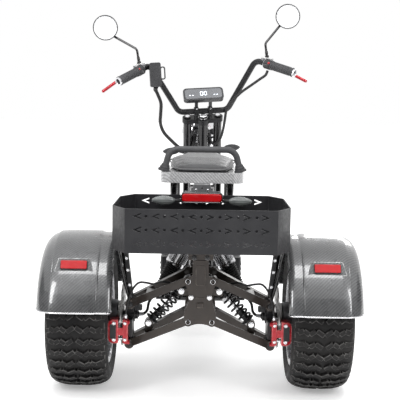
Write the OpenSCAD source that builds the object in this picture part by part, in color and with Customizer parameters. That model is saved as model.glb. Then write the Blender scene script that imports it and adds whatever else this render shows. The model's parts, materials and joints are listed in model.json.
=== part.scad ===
// Motorized trike: one steered front wheel, two wide rear wheels on double wishbones, a load
// basket behind the seat and a high U-shaped handlebar. Millimetres, +Y forward, +X to the
// rider's right, +Z up, ground at z = 0. Inside the modules y = 0 is the rear axle line.

/* [Rear wheels] */
// Outer radius of a rear tyre
rear_tyre_r = 238; // [210:1:250]
// Width of a rear tyre
rear_tyre_w = 200; // [170:1:215]
// Distance from the vehicle's middle to a rear wheel's middle
rear_wheel_x = 391; // [380:1:420]
// Radius of the rear rim's bead seat
rear_bead_r = 152; // [140:1:165]
// Radius of the rear axle stubs
rear_axle_r = 10; // [8:0.5:12]

/* [Front wheel] */
// Outer radius of the front tyre
front_tyre_r = 235; // [210:1:240]
// Width of the front tyre
front_tyre_w = 85; // [70:1:86]
// Radius of the front rim's bead seat
front_bead_r = 165; // [150:1:172]
// Radius of the front axle
front_axle_r = 7; // [6:0.5:9]
// Distance between the rear and the front axle
wheelbase = 1357; // [1300:1:1450]

/* [Brakes] */
// Radius of the brake discs
disc_r = 105; // [90:1:108]
// Thickness of the brake discs
disc_t = 4; // [3:0.5:5]

/* [Steering] */
// Lean of the steering axis back from upright, in degrees
rake = 28; // [22:0.5:32]
// Angle that the steering is parked at, to the left, in degrees
steer_rest = 8; // [0:1:12]
// Height of the upper fork clamp's top face over the steering axis
clamp_z = 873; // [850:1:900]
// Distance between the middles of the two fork legs
fork_gap = 132; // [130:1:150]
// Distance from the steering axis forward to the fork legs and the axle
fork_offset = 16; // [10:1:24]
// Radius of the upper fork tubes
fork_tube_r = 15; // [13:0.5:16]
// Radius of the lower fork sliders
slider_r = 17.5; // [16:0.5:18]
// Distance from the top face of the upper clamp to the top face of the lower clamp
clamp_drop = 234; // [200:1:260]

/* [Suspension] */
// Distance from the middle to an upper arm's inboard pivot
upper_in_x = 40; // [38:0.5:46]
// Height of an upper arm's inboard pivot
upper_in_z = 375; // [360:1:380]
// Distance from the middle to an upper arm's outboard pivot
upper_out_x = 232; // [224:1:234]
// Height of an upper arm's outboard pivot
upper_out_z = 281; // [274:1:290]
// Distance from the middle to a lower arm's inboard pivot
lower_in_x = 38.5; // [38:0.5:46]
// Height of a lower arm's inboard pivot
lower_in_z = 242; // [236:1:250]
// Distance from the middle to a lower arm's outboard pivot
lower_out_x = 234; // [224:1:235]
// Height of a lower arm's outboard pivot
lower_out_z = 147; // [140:1:155]
// Side of the square tube that the arms are made of
arm_side = 25; // [20:0.5:28]
// Radius of the pivot bolts
pivot_r = 6; // [5:0.5:8]

/* [Rear fenders] */
// Outer radius of a fender over its wheel
fender_r = 280; // [270:1:300]
// Distance from the vehicle's middle to a fender's middle
fender_x = 397; // [395:1:420]
// Width of a fender
fender_w = 240; // [232:1:242]
// Height at which a fender's front and rear edges end
fender_end_z = 298; // [280:1:330]
// Thickness of a fender's shell
fender_t = 4; // [3:0.5:6]

/* [Basket] */
// Width of the basket
basket_w = 546; // [500:1:600]
// Length of the basket
basket_l = 435; // [400:1:450]
// Height of the basket's walls
basket_h = 134; // [110:1:134]
// Height of the basket's underside
basket_z = 500; // [495:1:510]
// Thickness of the basket's sheet
basket_t = 3; // [2:0.5:5]
// Distance between neighbouring arrow cuts in a wall
arrow_pitch = 55; // [50:1:58]

/* [Seat and tail] */
// Width of the seat at its widest
seat_w = 240; // [220:1:300]
// Length of the seat
seat_l = 600; // [560:1:620]
// Thickness of the seat
seat_t = 38; // [34:1:60]
// Width of the tail cowl
cowl_w = 288; // [280:1:300]
// Height of the tail cowl's top
cowl_top_z = 709; // [700:1:720]

/* [Frame and deck] */
// Radius of the two main frame tubes
rail_r = 19; // [16:0.5:20]
// Distance from the middle to a main frame tube
rail_x = 52; // [48:1:54]
// Height of the main frame tubes under the deck
rail_z = 364; // [350:1:370]
// Width of the floor deck
deck_w = 330; // [300:1:360]
// Length of the floor deck
deck_l = 320; // [300:5:340]
// Thickness of the floor deck
deck_t = 7; // [5:0.5:10]
// Width of the battery box
battery_w = 316; // [280:1:330]
// Length of the battery box
battery_l = 380; // [300:5:390]
// Height of the battery box
battery_h = 144; // [120:1:150]

/* [Handlebar] */
// Radius of the handlebar tube
bar_r = 12.5; // [11:0.5:13]
// Radius of the hand grips
grip_r = 19; // [17:0.5:21]
// Radius of the round mirrors
mirror_r = 52; // [45:1:56]

/* [Hidden] */
$fn = 48;

// Shared clearances
seat_gap = 0.3;        // between pieces that rest on or beside each other
run_gap = 0.05;        // between a turning bore and its shaft
tiny = 0.01;

// Places along the vehicle, from the rear axle
basket_back_y = -340;
arm_rear_y = -100;
arm_front_y = 75;
boss_l = 35.4;         // length of an arm's inboard bosses
plate_t = 6;
cross_y = 150;
cross_z = 280;
cross_r = 25;
cross_l = 187;
spine_half = 19;
spine_gap = spine_half + 0.8;
shock_y = 215;
foot_y = 350;          // feet of the rear seat posts
post_top_y = 130;
outrigger_r = 14;
foot_z = rail_z + outrigger_r + seat_gap;
deck_front_y = wheelbase - 397;
deck_back_y = deck_front_y - deck_l;
leg_y = deck_back_y - 20;    // foot of the front seat posts
leg_top_y = leg_y - 60;
cowl_back_y = 100;
cowl_l = 300;
seat_back_y = 125;
post_x = 98;
post_r = 12.5;
seat_rail_z = cowl_top_z - fender_t - post_r - seat_gap;
brace_x = 57;

// Places across the vehicle
disc_x = 258;          // middle of a rear brake disc
hub_in = -118;         // inboard face of a rear hub, from the wheel's middle
hub_step = -84;        // where the motor's full radius starts
hub_out = 30;
hub_boss_r = 48;
hub_r = 100;
knuckle_half = 21.4;   // half the length of a knuckle's pivot bosses

// The steering axis leans back, so up along it is also backwards
steer_up = [0, -sin(rake), cos(rake)];
front_axle_drop = (clamp_z - front_tyre_r + fork_offset * sin(rake)) / cos(rake);
steer_top = [0, wheelbase - front_axle_drop * sin(rake) - fork_offset * cos(rake), clamp_z];

// The middle of the whole vehicle's length, which becomes y = 0
length_mid_y = (basket_back_y + wheelbase + front_tyre_r) / 2;

gloss_black = [0.05, 0.05, 0.055];
satin_black = [0.11, 0.11, 0.115];
frame_bronze = [0.17, 0.15, 0.14];
carbon_grey = [0.42, 0.43, 0.44];
signal_red = [0.8, 0.05, 0.06];
bright_metal = [0.78, 0.79, 0.8];

// ---------- helpers ----------

function unit(v) = v / norm(v);

// Put the rear axle's frame into the vehicle's own frame
module placed() {
    translate([0, -length_mid_y, 0])
        children();
}

// Both sides of the vehicle
module both_sides() {
    for (side = [-1, 1])
        mirror([side < 0 ? 1 : 0, 0, 0])
            children();
}

// One side: -1 is the left, 1 the right
module on_side(side) {
    mirror([side < 0 ? 1 : 0, 0, 0])
        children();
}

// Turn what is drawn straight ahead to the parked steering angle
module steered() {
    translate(steer_top)
        rotate(a = steer_rest, v = steer_up)
            translate(-steer_top)
                children();
}

// A frame on the steering axis: z up along it, y forward across it, origin at the upper clamp
module fork_frame() {
    translate(steer_top)
        rotate([rake, 0, 0])
            rotate([0, 0, steer_rest])
                children();
}

// Lay the z axis from a towards b
module along(a, b) {
    d = b - a;
    translate(a)
        rotate([0, acos(d.z / norm(d)), atan2(d.y, d.x)])
            children();
}

module rod(a, b, r) {
    along(a, b)
        cylinder(h = norm(b - a), r = r);
}

// A square bar from a to b that keeps two faces upright
module bar(a, b, wide, high) {
    d = unit(b - a);
    side = unit(cross([0, 0, 1], d));
    up = cross(d, side);
    multmatrix([
        [d.x, side.x, up.x, a.x],
        [d.y, side.y, up.y, a.y],
        [d.z, side.z, up.z, a.z],
        [0, 0, 0, 1]
    ])
        translate([0, -wide / 2, -high / 2])
            cube([norm(b - a), wide, high]);
}

// Points along the round corner at p1, between p0 and p2
bend_steps = 4;
function bend(p0, p1, p2, bend_r) =
    let (
        u = unit(p0 - p1),
        v = unit(p2 - p1),
        half = acos(u * v) / 2,
        centre = p1 + unit(u + v) * bend_r / sin(half),
        out = unit(p1 + u * bend_r / tan(half) - centre),
        turn = 180 - 2 * half
    )
    [
        for (k = [0 : bend_steps])
            centre + bend_r * (out * cos(turn * k / bend_steps) - u * sin(turn * k / bend_steps))
    ];

// The middle line of a bent tube through points, with one bend radius
function bent_line(p, bend_r) = [
    p[0],
    for (i = [1 : 1 : len(p) - 2])
        each bend(p[i - 1], p[i], p[i + 1], bend_r),
    p[len(p) - 1]
];

tube_sides = 20;
module bent_tube(p, bend_r, r) {
    swept(bent_line(p, bend_r), r, tube_sides);
}

module y_cylinder(x, y0, y1, z, r) {
    translate([x, y0, z])
        rotate([-90, 0, 0])
            cylinder(h = y1 - y0, r = r);
}

module x_cylinder(x0, x1, y, z, r) {
    translate([x0, y, z])
        rotate([0, 90, 0])
            cylinder(h = x1 - x0, r = r);
}

// A rounded rectangle, centred
module round_rect(w, l, r) {
    square([w - 2 * r, l], center = true);
    square([w, l - 2 * r], center = true);
    for (x = [-1, 1], y = [-1, 1])
        translate([x * (w / 2 - r), y * (l / 2 - r)])
            circle(r = r);
}

// Draw in the x-z plane and give it a thickness from y0 to y1
module upright(y0, y1) {
    translate([0, y1, 0])
        rotate([90, 0, 0])
            linear_extrude(y1 - y0)
                children();
}

// Points of a smooth curve through p, with steps between each pair
function curve_at(a, b, c, d, t) =
    0.5 * (2 * b + (c - a) * t + (2 * a - 5 * b + 4 * c - d) * t * t
    + (3 * b - a - 3 * c + d) * t * t * t);
function smooth(p, steps) = [
    for (i = [0 : len(p) - 2], k = [0 : steps - 1])
        curve_at(p[max(i - 1, 0)], p[i], p[i + 1], p[min(i + 2, len(p) - 1)], k / steps),
    p[len(p) - 1]
];

// A tube swept along points, its rings kept from twisting
sweep_seed = [0.3, 0.5, 0.8];
function tangents(p) = [
    for (i = [0 : len(p) - 1])
        unit(p[min(i + 1, len(p) - 1)] - p[max(i - 1, 0)])
];
function square_to(t, v) = unit(v - (v * t) * t);
function normals(t) = [
    for (i = 0, n = square_to(t[0], sweep_seed); i < len(t);
         i = i + 1, n = i < len(t) ? square_to(t[i], n) : n)
        n
];
module swept(p, r, sides) {
    t = tangents(p);
    n = normals(t);
    rings = len(p);
    points = [
        for (i = [0 : rings - 1], k = [0 : sides - 1])
            p[i] + r * (n[i] * cos(360 * k / sides) + cross(t[i], n[i]) * sin(360 * k / sides))
    ];
    walls = [
        for (i = [0 : rings - 2], k = [0 : sides - 1])
            [
                i * sides + k,
                (i + 1) * sides + k,
                (i + 1) * sides + (k + 1) % sides,
                i * sides + (k + 1) % sides
            ]
    ];
    first_end = [for (k = [0 : sides - 1]) k];
    last_end = [for (k = [0 : sides - 1]) rings * sides - 1 - k];
    polyhedron(points, concat(walls, [first_end, last_end]));
}

// A coil spring of round wire, standing on z = 0
coil_steps = 12;
module spring(coil_r, wire_r, turns, height) {
    steps = turns * coil_steps;
    swept([
        for (i = [0 : steps])
            [
                coil_r * cos(360 * i / coil_steps),
                coil_r * sin(360 * i / coil_steps),
                wire_r + (height - 2 * wire_r) * i / steps
            ]
    ], wire_r, 8);
}

// ---------- wheels ----------

// A tyre's section: [distance from the axle, distance across]
bead_share = 0.42;     // half width at the bead, as a share of the width
bead_wall = 16;
function tyre_section(r, w, bead_r, power) =
    let (
        bead_x = w * bead_share,
        low = bead_r + bead_wall,
        wide_r = low + (r - low) * 0.3
    )
    concat(
        [[bead_r, -bead_x], [low, -bead_x]],
        [
            for (a = [0 : 10 : 180])
                [
                    wide_r + (r - wide_r) * pow(sin(a), power),
                    -w / 2 * sign(cos(a)) * pow(abs(cos(a)), power)
                ]
        ],
        [[low, bead_x], [bead_r, bead_x]]
    );

module tyre(r, w, bead_r, power) {
    rotate([0, 90, 0])
        rotate_extrude($fn = 96)
            polygon(tyre_section(r, w, bead_r, power));
}

// A rim's barrel with its two flanges
module barrel(w, bead_r, depth) {
    bead_x = w * bead_share;
    flange = 6;
    rotate([0, 90, 0])
        rotate_extrude($fn = 96)
            polygon([
                [bead_r - depth, -bead_x - flange],
                [bead_r + bead_wall - 4, -bead_x - flange],
                [bead_r + bead_wall - 4, -bead_x - seat_gap],
                [bead_r - seat_gap, -bead_x - seat_gap],
                [bead_r - seat_gap, bead_x + seat_gap],
                [bead_r + bead_wall - 4, bead_x + seat_gap],
                [bead_r + bead_wall - 4, bead_x + flange],
                [bead_r - depth, bead_x + flange]
            ]);
}

barrel_depth = 9;
module rear_rim() {
    spoke_count = 8;
    spoke_t = 26;
    difference() {
        union() {
            barrel(rear_tyre_w, rear_bead_r, barrel_depth);
            x_cylinder(hub_in, hub_step, 0, 0, hub_boss_r);
            x_cylinder(hub_step - 1, hub_out, 0, 0, hub_r);
            for (k = [0 : spoke_count - 1])
                rotate([360 / spoke_count * k, 0, 0])
                    translate([-10, -spoke_t / 2, hub_r - 5])
                        cube([30, spoke_t, rear_bead_r - barrel_depth - hub_r + 8]);
        }
        x_cylinder(hub_in - 1, hub_out + 1, 0, 0, rear_axle_r + run_gap);
    }
}

disc_hat_r = 45;
disc_hole_r = 30;
module rear_disc() {
    difference() {
        union() {
            x_cylinder(disc_x - disc_t / 2, disc_x + disc_t / 2, 0, 0, disc_r);
            x_cylinder(disc_x, rear_wheel_x + hub_in, 0, 0, disc_hat_r);
        }
        x_cylinder(disc_x - 10, rear_wheel_x + hub_in + 1, 0, 0, disc_hole_r);
    }
}

module rear_axle_line(side) {
    on_side(side)
        translate([0, 0, rear_tyre_r])
            children();
}

module rear_tyre_at(side) {
    color(gloss_black)
        placed()
            rear_axle_line(side)
                translate([rear_wheel_x, 0, 0])
                    tyre(rear_tyre_r, rear_tyre_w, rear_bead_r, 0.72);
}

module rear_rim_at(side) {
    color(bright_metal)
        placed()
            rear_axle_line(side)
                translate([rear_wheel_x, 0, 0])
                    rear_rim();
}

module rear_disc_at(side) {
    color(bright_metal)
        placed()
            rear_axle_line(side)
                rear_disc();
}

// ---------- rear suspension ----------

ear_mid = 35;          // distance along y from the axle to an arm's outboard ears
ear_half = 13;
boss_r = 16;

module arm_boss(x, y, z, half) {
    translate([x, y - half, z])
        rotate([-90, 90, 0])
            cylinder(h = 2 * half, r = boss_r);
}

// One wishbone: two square tubes from the inboard bosses to the outboard ears
module wishbone(in_x, in_z, out_x, out_z, tie) {
    difference() {
        union() {
            for (end = [[arm_rear_y, -ear_mid], [arm_front_y, ear_mid]]) {
                bar([in_x, end[0], in_z], [out_x, end[1], out_z], arm_side, arm_side);
                arm_boss(in_x, end[0], in_z, boss_l / 2);
                arm_boss(out_x, end[1], out_z, ear_half);
            }
            tie_x = in_x + (out_x - in_x) * tie;
            tie_z = in_z + (out_z - in_z) * tie;
            bar(
                [tie_x, arm_rear_y + (-ear_mid - arm_rear_y) * tie, tie_z],
                [tie_x, arm_front_y + (ear_mid - arm_front_y) * tie, tie_z],
                arm_side, arm_side - 7
            );
            children();
        }
        y_cylinder(in_x, arm_rear_y - boss_l, arm_front_y + boss_l, in_z, pivot_r + 0.1);
        y_cylinder(out_x, -2 * ear_mid, 2 * ear_mid, out_z, pivot_r + 0.1);
        translate([out_x - 26, -knuckle_half - seat_gap, out_z - 40])
            cube([60, 2 * (knuckle_half + seat_gap), 80]);
    }
}

module upper_arms() {
    color(frame_bronze)
        placed()
            both_sides()
                wishbone(upper_in_x, upper_in_z, upper_out_x, upper_out_z, 0.66);
}

// Coilover eyes: the lower one on the lower arm, the upper one on the tower
coil_low = [171, -12, 214];
coil_high = [62, -12, 334];
coil_eye_r = 14;
coil_eye_l = 24;
coil_lug_t = 6;

module lower_arms() {
    lug_in = coil_eye_l / 2 + seat_gap;
    tie = (coil_low.x - lower_in_x) / (lower_out_x - lower_in_x);
    tie_z = lower_in_z + (lower_out_z - lower_in_z) * tie;
    color(frame_bronze)
        placed()
            both_sides()
                wishbone(lower_in_x, lower_in_z, lower_out_x, lower_out_z, tie) {
                    for (s = [-1, 1])
                        translate([0, coil_low.y + s * (lug_in + coil_lug_t / 2), 0]) {
                            y_cylinder(coil_low.x, -coil_lug_t / 2, coil_lug_t / 2, coil_low.z, coil_eye_r);
                            translate([coil_low.x - 12, -coil_lug_t / 2, tie_z])
                                cube([24, coil_lug_t, coil_low.z - tie_z]);
                        }
                    y_cylinder(
                        coil_low.x, coil_low.y - lug_in - 1, coil_low.y + lug_in + 1,
                        coil_low.z, pivot_r
                    );
                }
}

coil_l = norm(coil_high - coil_low);
coil_seat_low = 20;    // lower spring seat's face, from the lower eye
coil_seat_high = coil_l - 24;
coil_seat_r = 24;
coil_seat_t = 5;
module coilover() {
    neck = coil_eye_r - 4;
    for (eye = [coil_low, coil_high])
        difference() {
            y_cylinder(eye.x, eye.y - coil_eye_l / 2, eye.y + coil_eye_l / 2, eye.z, coil_eye_r);
            y_cylinder(eye.x, eye.y - 30, eye.y + 30, eye.z, pivot_r + 0.1);
        }
    along(coil_low, coil_high) {
        translate([0, 0, neck])
            cylinder(h = coil_l * 0.55 - neck, r = 11);
        translate([0, 0, coil_l * 0.5])
            cylinder(h = coil_l * 0.5 - neck, r = 7);
        translate([0, 0, coil_seat_low - coil_seat_t])
            cylinder(h = coil_seat_t, r = coil_seat_r);
        translate([0, 0, coil_seat_high])
            cylinder(h = coil_seat_t, r = coil_seat_r);
    }
}

module coilovers() {
    color(gloss_black)
        placed()
            both_sides()
                coilover();
}

module coil_springs() {
    wire_r = 3.7;
    turns = 6;
    color(gloss_black)
        placed()
            both_sides()
                along(coil_low, coil_high)
                    translate([0, 0, coil_seat_low + seat_gap])
                        spring(
                            coil_seat_r - wire_r, wire_r, turns,
                            coil_seat_high - coil_seat_low - 2 * seat_gap
                        );
}

// The outline of a tower plate that holds the inboard pivot bolts
module pivot_plate(top_z) {
    arch_r = 80;
    difference() {
        union() {
            for (s = [-1, 1]) {
                translate([s * upper_in_x, upper_in_z])
                    circle(r = 13);
                translate([s * lower_in_x, lower_in_z])
                    circle(r = 14);
            }
            polygon([
                [-lower_in_x - 13, lower_in_z], [-lower_in_x, lower_in_z - 14],
                [lower_in_x, lower_in_z - 14], [lower_in_x + 13, lower_in_z],
                [lower_in_x + 13, lower_in_z + 28], [38, 308], [38, 340],
                [upper_in_x + 13, upper_in_z], [upper_in_x, upper_in_z + 13], [26, upper_in_z + 20],
                [25.5, top_z], [-25.5, top_z], [-26, upper_in_z + 20],
                [-upper_in_x, upper_in_z + 13], [-upper_in_x - 13, upper_in_z],
                [-38, 340], [-38, 308], [-lower_in_x - 13, lower_in_z + 28]
            ]);
        }
        translate([0, lower_in_z - 14 - arch_r + 8])
            circle(r = arch_r);
    }
}

column_half = 25.5;
flange_w = 81;
flange_z = 445;
flange_t = 15;
module rear_tower() {
    rear_face = arm_rear_y - boss_l / 2 - seat_gap;
    inner_rear = arm_rear_y + boss_l / 2 + seat_gap;
    inner_front = arm_front_y - boss_l / 2 - seat_gap;
    front_face = arm_front_y + boss_l / 2 + seat_gap;
    column_z = upper_in_z + boss_r + 2 * seat_gap;
    color(frame_bronze)
        placed() {
            difference() {
                union() {
                    upright(rear_face - plate_t, rear_face)
                        pivot_plate(flange_z);
                    upright(inner_rear, inner_rear + plate_t)
                        pivot_plate(upper_in_z + 21);
                    upright(inner_front - plate_t, inner_front)
                        pivot_plate(upper_in_z + 21);
                    upright(front_face, front_face + plate_t)
                        pivot_plate(upper_in_z + 21);
                    translate([-spine_half, rear_face - 1, 262])
                        cube([2 * spine_half, cross_y - cross_r - rear_face + 1, 128]);
                    translate([-column_half, rear_face - plate_t, column_z])
                        cube([2 * column_half, 76, flange_z - column_z + 1]);
                    translate([-column_half + 8, rear_face - plate_t - 4, 350])
                        cube([2 * column_half - 16, 6, flange_z - 350]);
                    translate([-flange_w / 2, rear_face - plate_t, flange_z])
                        cube([flange_w, 92, flange_t]);
                    for (y = [inner_rear, inner_front - plate_t])
                        translate([-coil_high.x - 12, y, coil_high.z - 13])
                            cube([2 * coil_high.x + 24, plate_t, 22]);
                }
                x_cylinder(-60, 60, cross_y, cross_z, cross_r + seat_gap);
                for (s = [-1, 1])
                    translate([s * 21, -75, flange_z - 20])
                        cylinder(h = flange_t + 30, r = 4.2);
            }
            for (s = [-1, 1]) {
                for (p = [[upper_in_x, upper_in_z], [lower_in_x, lower_in_z]]) {
                    y_cylinder(s * p[0], rear_face - plate_t - 7, inner_rear + 1, p[1], pivot_r);
                    y_cylinder(s * p[0], inner_front - 1, front_face + plate_t + 7, p[1], pivot_r);
                }
                y_cylinder(s * coil_high.x, inner_rear, inner_front, coil_high.z, pivot_r);
            }
        }
}

// The tube across the front of the tower that the main frame hangs on
module cross_tube() {
    collar_l = 16;
    color(satin_black)
        placed() {
            x_cylinder(-cross_l / 2, cross_l / 2, cross_y, cross_z, cross_r);
            for (s = [-1, 1])
                translate([s * (cross_l / 2 - collar_l / 2), 0, 0])
                    x_cylinder(-collar_l / 2, collar_l / 2, cross_y, cross_z, cross_r + 3);
        }
}

// ---------- knuckles, brakes and fenders ----------

knuckle_x = 222;
axle_boss_r = 24;
stay_top_z = 496;
module knuckle(side) {
    axle_end = rear_wheel_x + hub_out + 14;
    color(satin_black)
        placed()
            on_side(side) {
                difference() {
                    union() {
                        translate([knuckle_x, -knuckle_half, lower_out_z])
                            cube([20, 2 * knuckle_half, upper_out_z - lower_out_z]);
                        y_cylinder(upper_out_x, -knuckle_half, knuckle_half, upper_out_z, boss_r);
                        y_cylinder(lower_out_x, -knuckle_half, knuckle_half, lower_out_z, boss_r);
                        x_cylinder(knuckle_x - 4, disc_x - disc_t / 2 - 6, 0, rear_tyre_r, axle_boss_r);
                        // bracket that carries the brake caliper
                        translate([knuckle_x, -78, 178])
                            cube([11, 78, 56]);
                        // stay up to the fender's inner edge
                        bar([knuckle_x + 8, 0, upper_out_z + 10], [252, 0, stay_top_z - 24], 34, 12);
                        translate([246, -17, stay_top_z - 34])
                            cube([fender_x - fender_w / 2 - seat_gap - 246, 34, 30]);
                    }
                    for (p = [[upper_out_x, upper_out_z], [lower_out_x, lower_out_z]])
                        y_cylinder(p[0], -60, 60, p[1], pivot_r + 0.1);
                }
                for (p = [[upper_out_x, upper_out_z], [lower_out_x, lower_out_z]])
                    y_cylinder(p[0], -ear_mid - ear_half - 6, ear_mid + ear_half + 6, p[1], pivot_r);
                x_cylinder(knuckle_x - 18, axle_end, 0, rear_tyre_r, rear_axle_r);
                x_cylinder(knuckle_x - 14, knuckle_x - 4, 0, rear_tyre_r, 16);
                x_cylinder(axle_end - 12, axle_end, 0, rear_tyre_r, 16);
            }
}

// A caliper: two halves either side of the disc, joined over its edge
module caliper(in_w, out_w) {
    gap = disc_t / 2 + 5;
    high = 79;
    deep = 42;
    difference() {
        union() {
            translate([-gap - in_w, -deep / 2, -high / 2])
                cube([in_w, deep, high]);
            translate([gap, -deep / 2, -high / 2])
                cube([out_w, deep, high]);
            translate([-gap - in_w, -deep / 2, -12])
                cube([in_w + out_w + 2 * gap, 10, 24]);
        }
        for (z = [-1, 1])
            translate([gap + out_w, 0, z * high / 2])
                rotate([0, 45, 0])
                    cube([14, deep + 10, 14], center = true);
    }
}

caliper_y = -95;
caliper_z = 205;
module rear_calipers() {
    in_w = 17;
    out_w = 34;
    color(signal_red)
        placed()
            both_sides()
                translate([disc_x, caliper_y, caliper_z])
                    caliper(in_w, out_w);
}

// A fender's section from the inner lip over the crown to the outer skirt
fender_flat = 20;      // where the crown starts to fall, from the wheel's middle
fender_skirt = 75;     // how far the outer skirt falls
fender_lip = 40;       // how far the inner lip falls
fender_corner = 18;
function fender_line(t) = concat(
    [[fender_r - fender_lip, -fender_w / 2 + t]],
    [
        for (a = [0 : 15 : 90])
            [
                fender_r - fender_corner + (fender_corner - t) * sin(a),
                -fender_w / 2 + fender_corner - (fender_corner - t) * cos(a)
            ]
    ],
    [
        for (a = [0 : 10 : 90])
            [
                fender_r - fender_skirt + (fender_skirt - t) * pow(cos(a), 0.8),
                fender_flat + (fender_w / 2 - fender_flat - t) * pow(sin(a), 0.8)
            ]
    ]
);
module fender_ring() {
    rotate([0, 90, 0])
        rotate_extrude($fn = 96)
            polygon(concat(
                [[10, -fender_w / 2]],
                fender_line(0),
                [[10, fender_w / 2]]
            ));
}

// What the shell leaves free: open on both sides below the lip and the skirt
module fender_hollow() {
    rotate([0, 90, 0])
        rotate_extrude($fn = 96)
            polygon(concat(
                [[5, -fender_w / 2 - 1], [fender_r - fender_lip, -fender_w / 2 - 1]],
                fender_line(fender_t),
                [[fender_r - fender_skirt, fender_w / 2 + 1], [5, fender_w / 2 + 1]]
            ));
}

reflector_w = 86;
reflector_h = 31;
reflector_z = 440;
reflector_x = 397;
reflector_tilt = 30;
pad_w = 108;
pad_h = 44;

// The plane of a reflector's flat seat, its lower edge on the fender's skin
module reflector_frame() {
    low_z = reflector_z - pad_h / 2 - rear_tyre_r;
    translate([reflector_x, -sqrt(pow(fender_r, 2) - pow(low_z, 2)), low_z])
        rotate([-reflector_tilt, 0, 0])
            children();
}

module fender(side) {
    color(carbon_grey)
        placed()
            rear_axle_line(side)
                difference() {
                    union() {
                        translate([fender_x, 0, 0])
                            fender_ring();
                        reflector_frame()
                            translate([-pad_w / 2, 0, 0])
                                cube([pad_w, 60, pad_h]);
                    }
                    translate([fender_x, 0, 0])
                        fender_hollow();
                    translate([0, -400, -400 + fender_end_z - rear_tyre_r])
                        cube([600, 800, 400]);
                }
}

module fender_reflectors() {
    color(signal_red)
        placed()
            for (side = [-1, 1])
                rear_axle_line(side)
                    reflector_frame()
                        translate([0, 0, pad_h / 2])
                            upright(-7, -seat_gap)
                                round_rect(reflector_w, reflector_h, 5);
}

// ---------- frame ----------

neck_y = deck_front_y + 50;
neck_z = 560;
module main_frame() {
    head_top = -22 - 1;
    head_bottom = -clamp_drop + 1;
    beam_z = shock_low.z - 22;
    color(gloss_black)
        placed() {
            difference() {
                union() {
                    for (s = [-1, 1]) {
                        bent_tube([
                            [s * rail_x, cross_y + cross_r - 6, cross_z + 6],
                            [s * rail_x, 350, rail_z],
                            [s * rail_x, deck_front_y - 5, rail_z],
                            [s * rail_x, neck_y + 60, neck_z]
                        ], 70, rail_r);
                        // lug for a rear shock, on a beam below the rails
                        x_cylinder(s * shock_low.x - 14, s * shock_low.x + 14, shock_y, shock_low.z, shock_lug_r);
                        translate([s * rail_x - 6, shock_y - 8, beam_z])
                            cube([12, 16, 44]);
                    }
                    x_cylinder(-shock_low.x - 8, shock_low.x + 8, shock_y, beam_z, 9);
                    // outriggers under the seat posts, and a cross tube under the deck
                    for (y = [foot_y, leg_y])
                        x_cylinder(-post_x - 16, post_x + 16, y, rail_z, outrigger_r);
                    x_cylinder(-rail_x, rail_x, deck_front_y - 60, rail_z, outrigger_r);
                    translate([-rail_x, cross_y + cross_r - 6, cross_z - 14])
                        cube([2 * rail_x, 24, 40]);
                    x_cylinder(-rail_x, rail_x, neck_y + 60, neck_z, rail_r);
                }
                x_cylinder(-200, 200, cross_y, cross_z, cross_r + seat_gap);
            }
            // head tube with its neck
            difference() {
                union() {
                    translate(steer_top)
                        rotate([rake, 0, 0])
                            translate([0, 0, head_bottom])
                                cylinder(h = head_top - head_bottom, r = 21.5);
                    bar([0, neck_y + 60, neck_z], steer_top + steer_up * (head_bottom + 30), 44, 60);
                }
                translate(steer_top)
                    rotate([rake, 0, 0])
                        translate([0, 0, head_bottom - 60])
                            cylinder(h = head_top - head_bottom + 120, r = stem_r + run_gap);
                translate(steer_top)
                    rotate([rake, 0, 0])
                        translate([-60, -30, head_bottom - 60])
                            cube([120, 90, 60]);
            }
        }
}
stem_r = 14;

module seat_frame() {
    shock_bar_z = 505;
    shock_bar_y = foot_y + (post_top_y - foot_y) * (shock_bar_z - foot_z) / (seat_rail_z - foot_z);
    strut_t = 12;
    color(gloss_black)
        placed() {
            for (s = [-1, 1]) {
                // rear post, seat rail and front post in one bent tube
                bent_tube([
                    [s * post_x, foot_y, foot_z + 8],
                    [s * post_x, post_top_y, seat_rail_z],
                    [s * post_x, leg_top_y, seat_rail_z],
                    [s * post_x, leg_y, foot_z + 8]
                ], 36, post_r);
                for (y = [foot_y, leg_y])
                    translate([s * post_x - 18, y - 18, foot_z])
                        cube([36, 36, 6]);
                rod(
                    [s * brace_x, shock_bar_y, shock_bar_z],
                    [s * brace_x, post_top_y + 60, seat_rail_z], 10
                );
                // strut out to the top eye of a shock
                translate([s * shock_high.x, 0, 0])
                    bar(
                        [0, shock_bar_y, shock_bar_z],
                        [0, shock_y - 14, shock_high.z + shock_eye_r + strut_t / 2 + seat_gap],
                        40, strut_t
                    );
            }
            x_cylinder(-post_x, post_x, leg_top_y - 60, seat_rail_z, post_r - 2);
            x_cylinder(-post_x, post_x, post_top_y + 60, seat_rail_z, post_r - 2);
            x_cylinder(-post_x, post_x, shock_bar_y, shock_bar_z, post_r);
        }
}

module battery_box() {
    color(satin_black)
        placed()
            translate([0, deck_front_y - 20 - battery_l / 2, rail_z - rail_r - seat_gap - battery_h])
                linear_extrude(battery_h)
                    round_rect(battery_w, battery_l, 12);
}

module floor_deck() {
    notch_half = rail_x + rail_r + 3;
    color(satin_black)
        placed()
            translate([0, (deck_back_y + deck_front_y) / 2, rail_z + rail_r + seat_gap])
                linear_extrude(deck_t)
                    difference() {
                        round_rect(deck_w, deck_l, 30);
                        // notch where the frame tubes rise
                        translate([-notch_half, deck_l / 2 - 52])
                            square([2 * notch_half, 60]);
                    }
}

// ---------- shocks ----------

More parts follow.
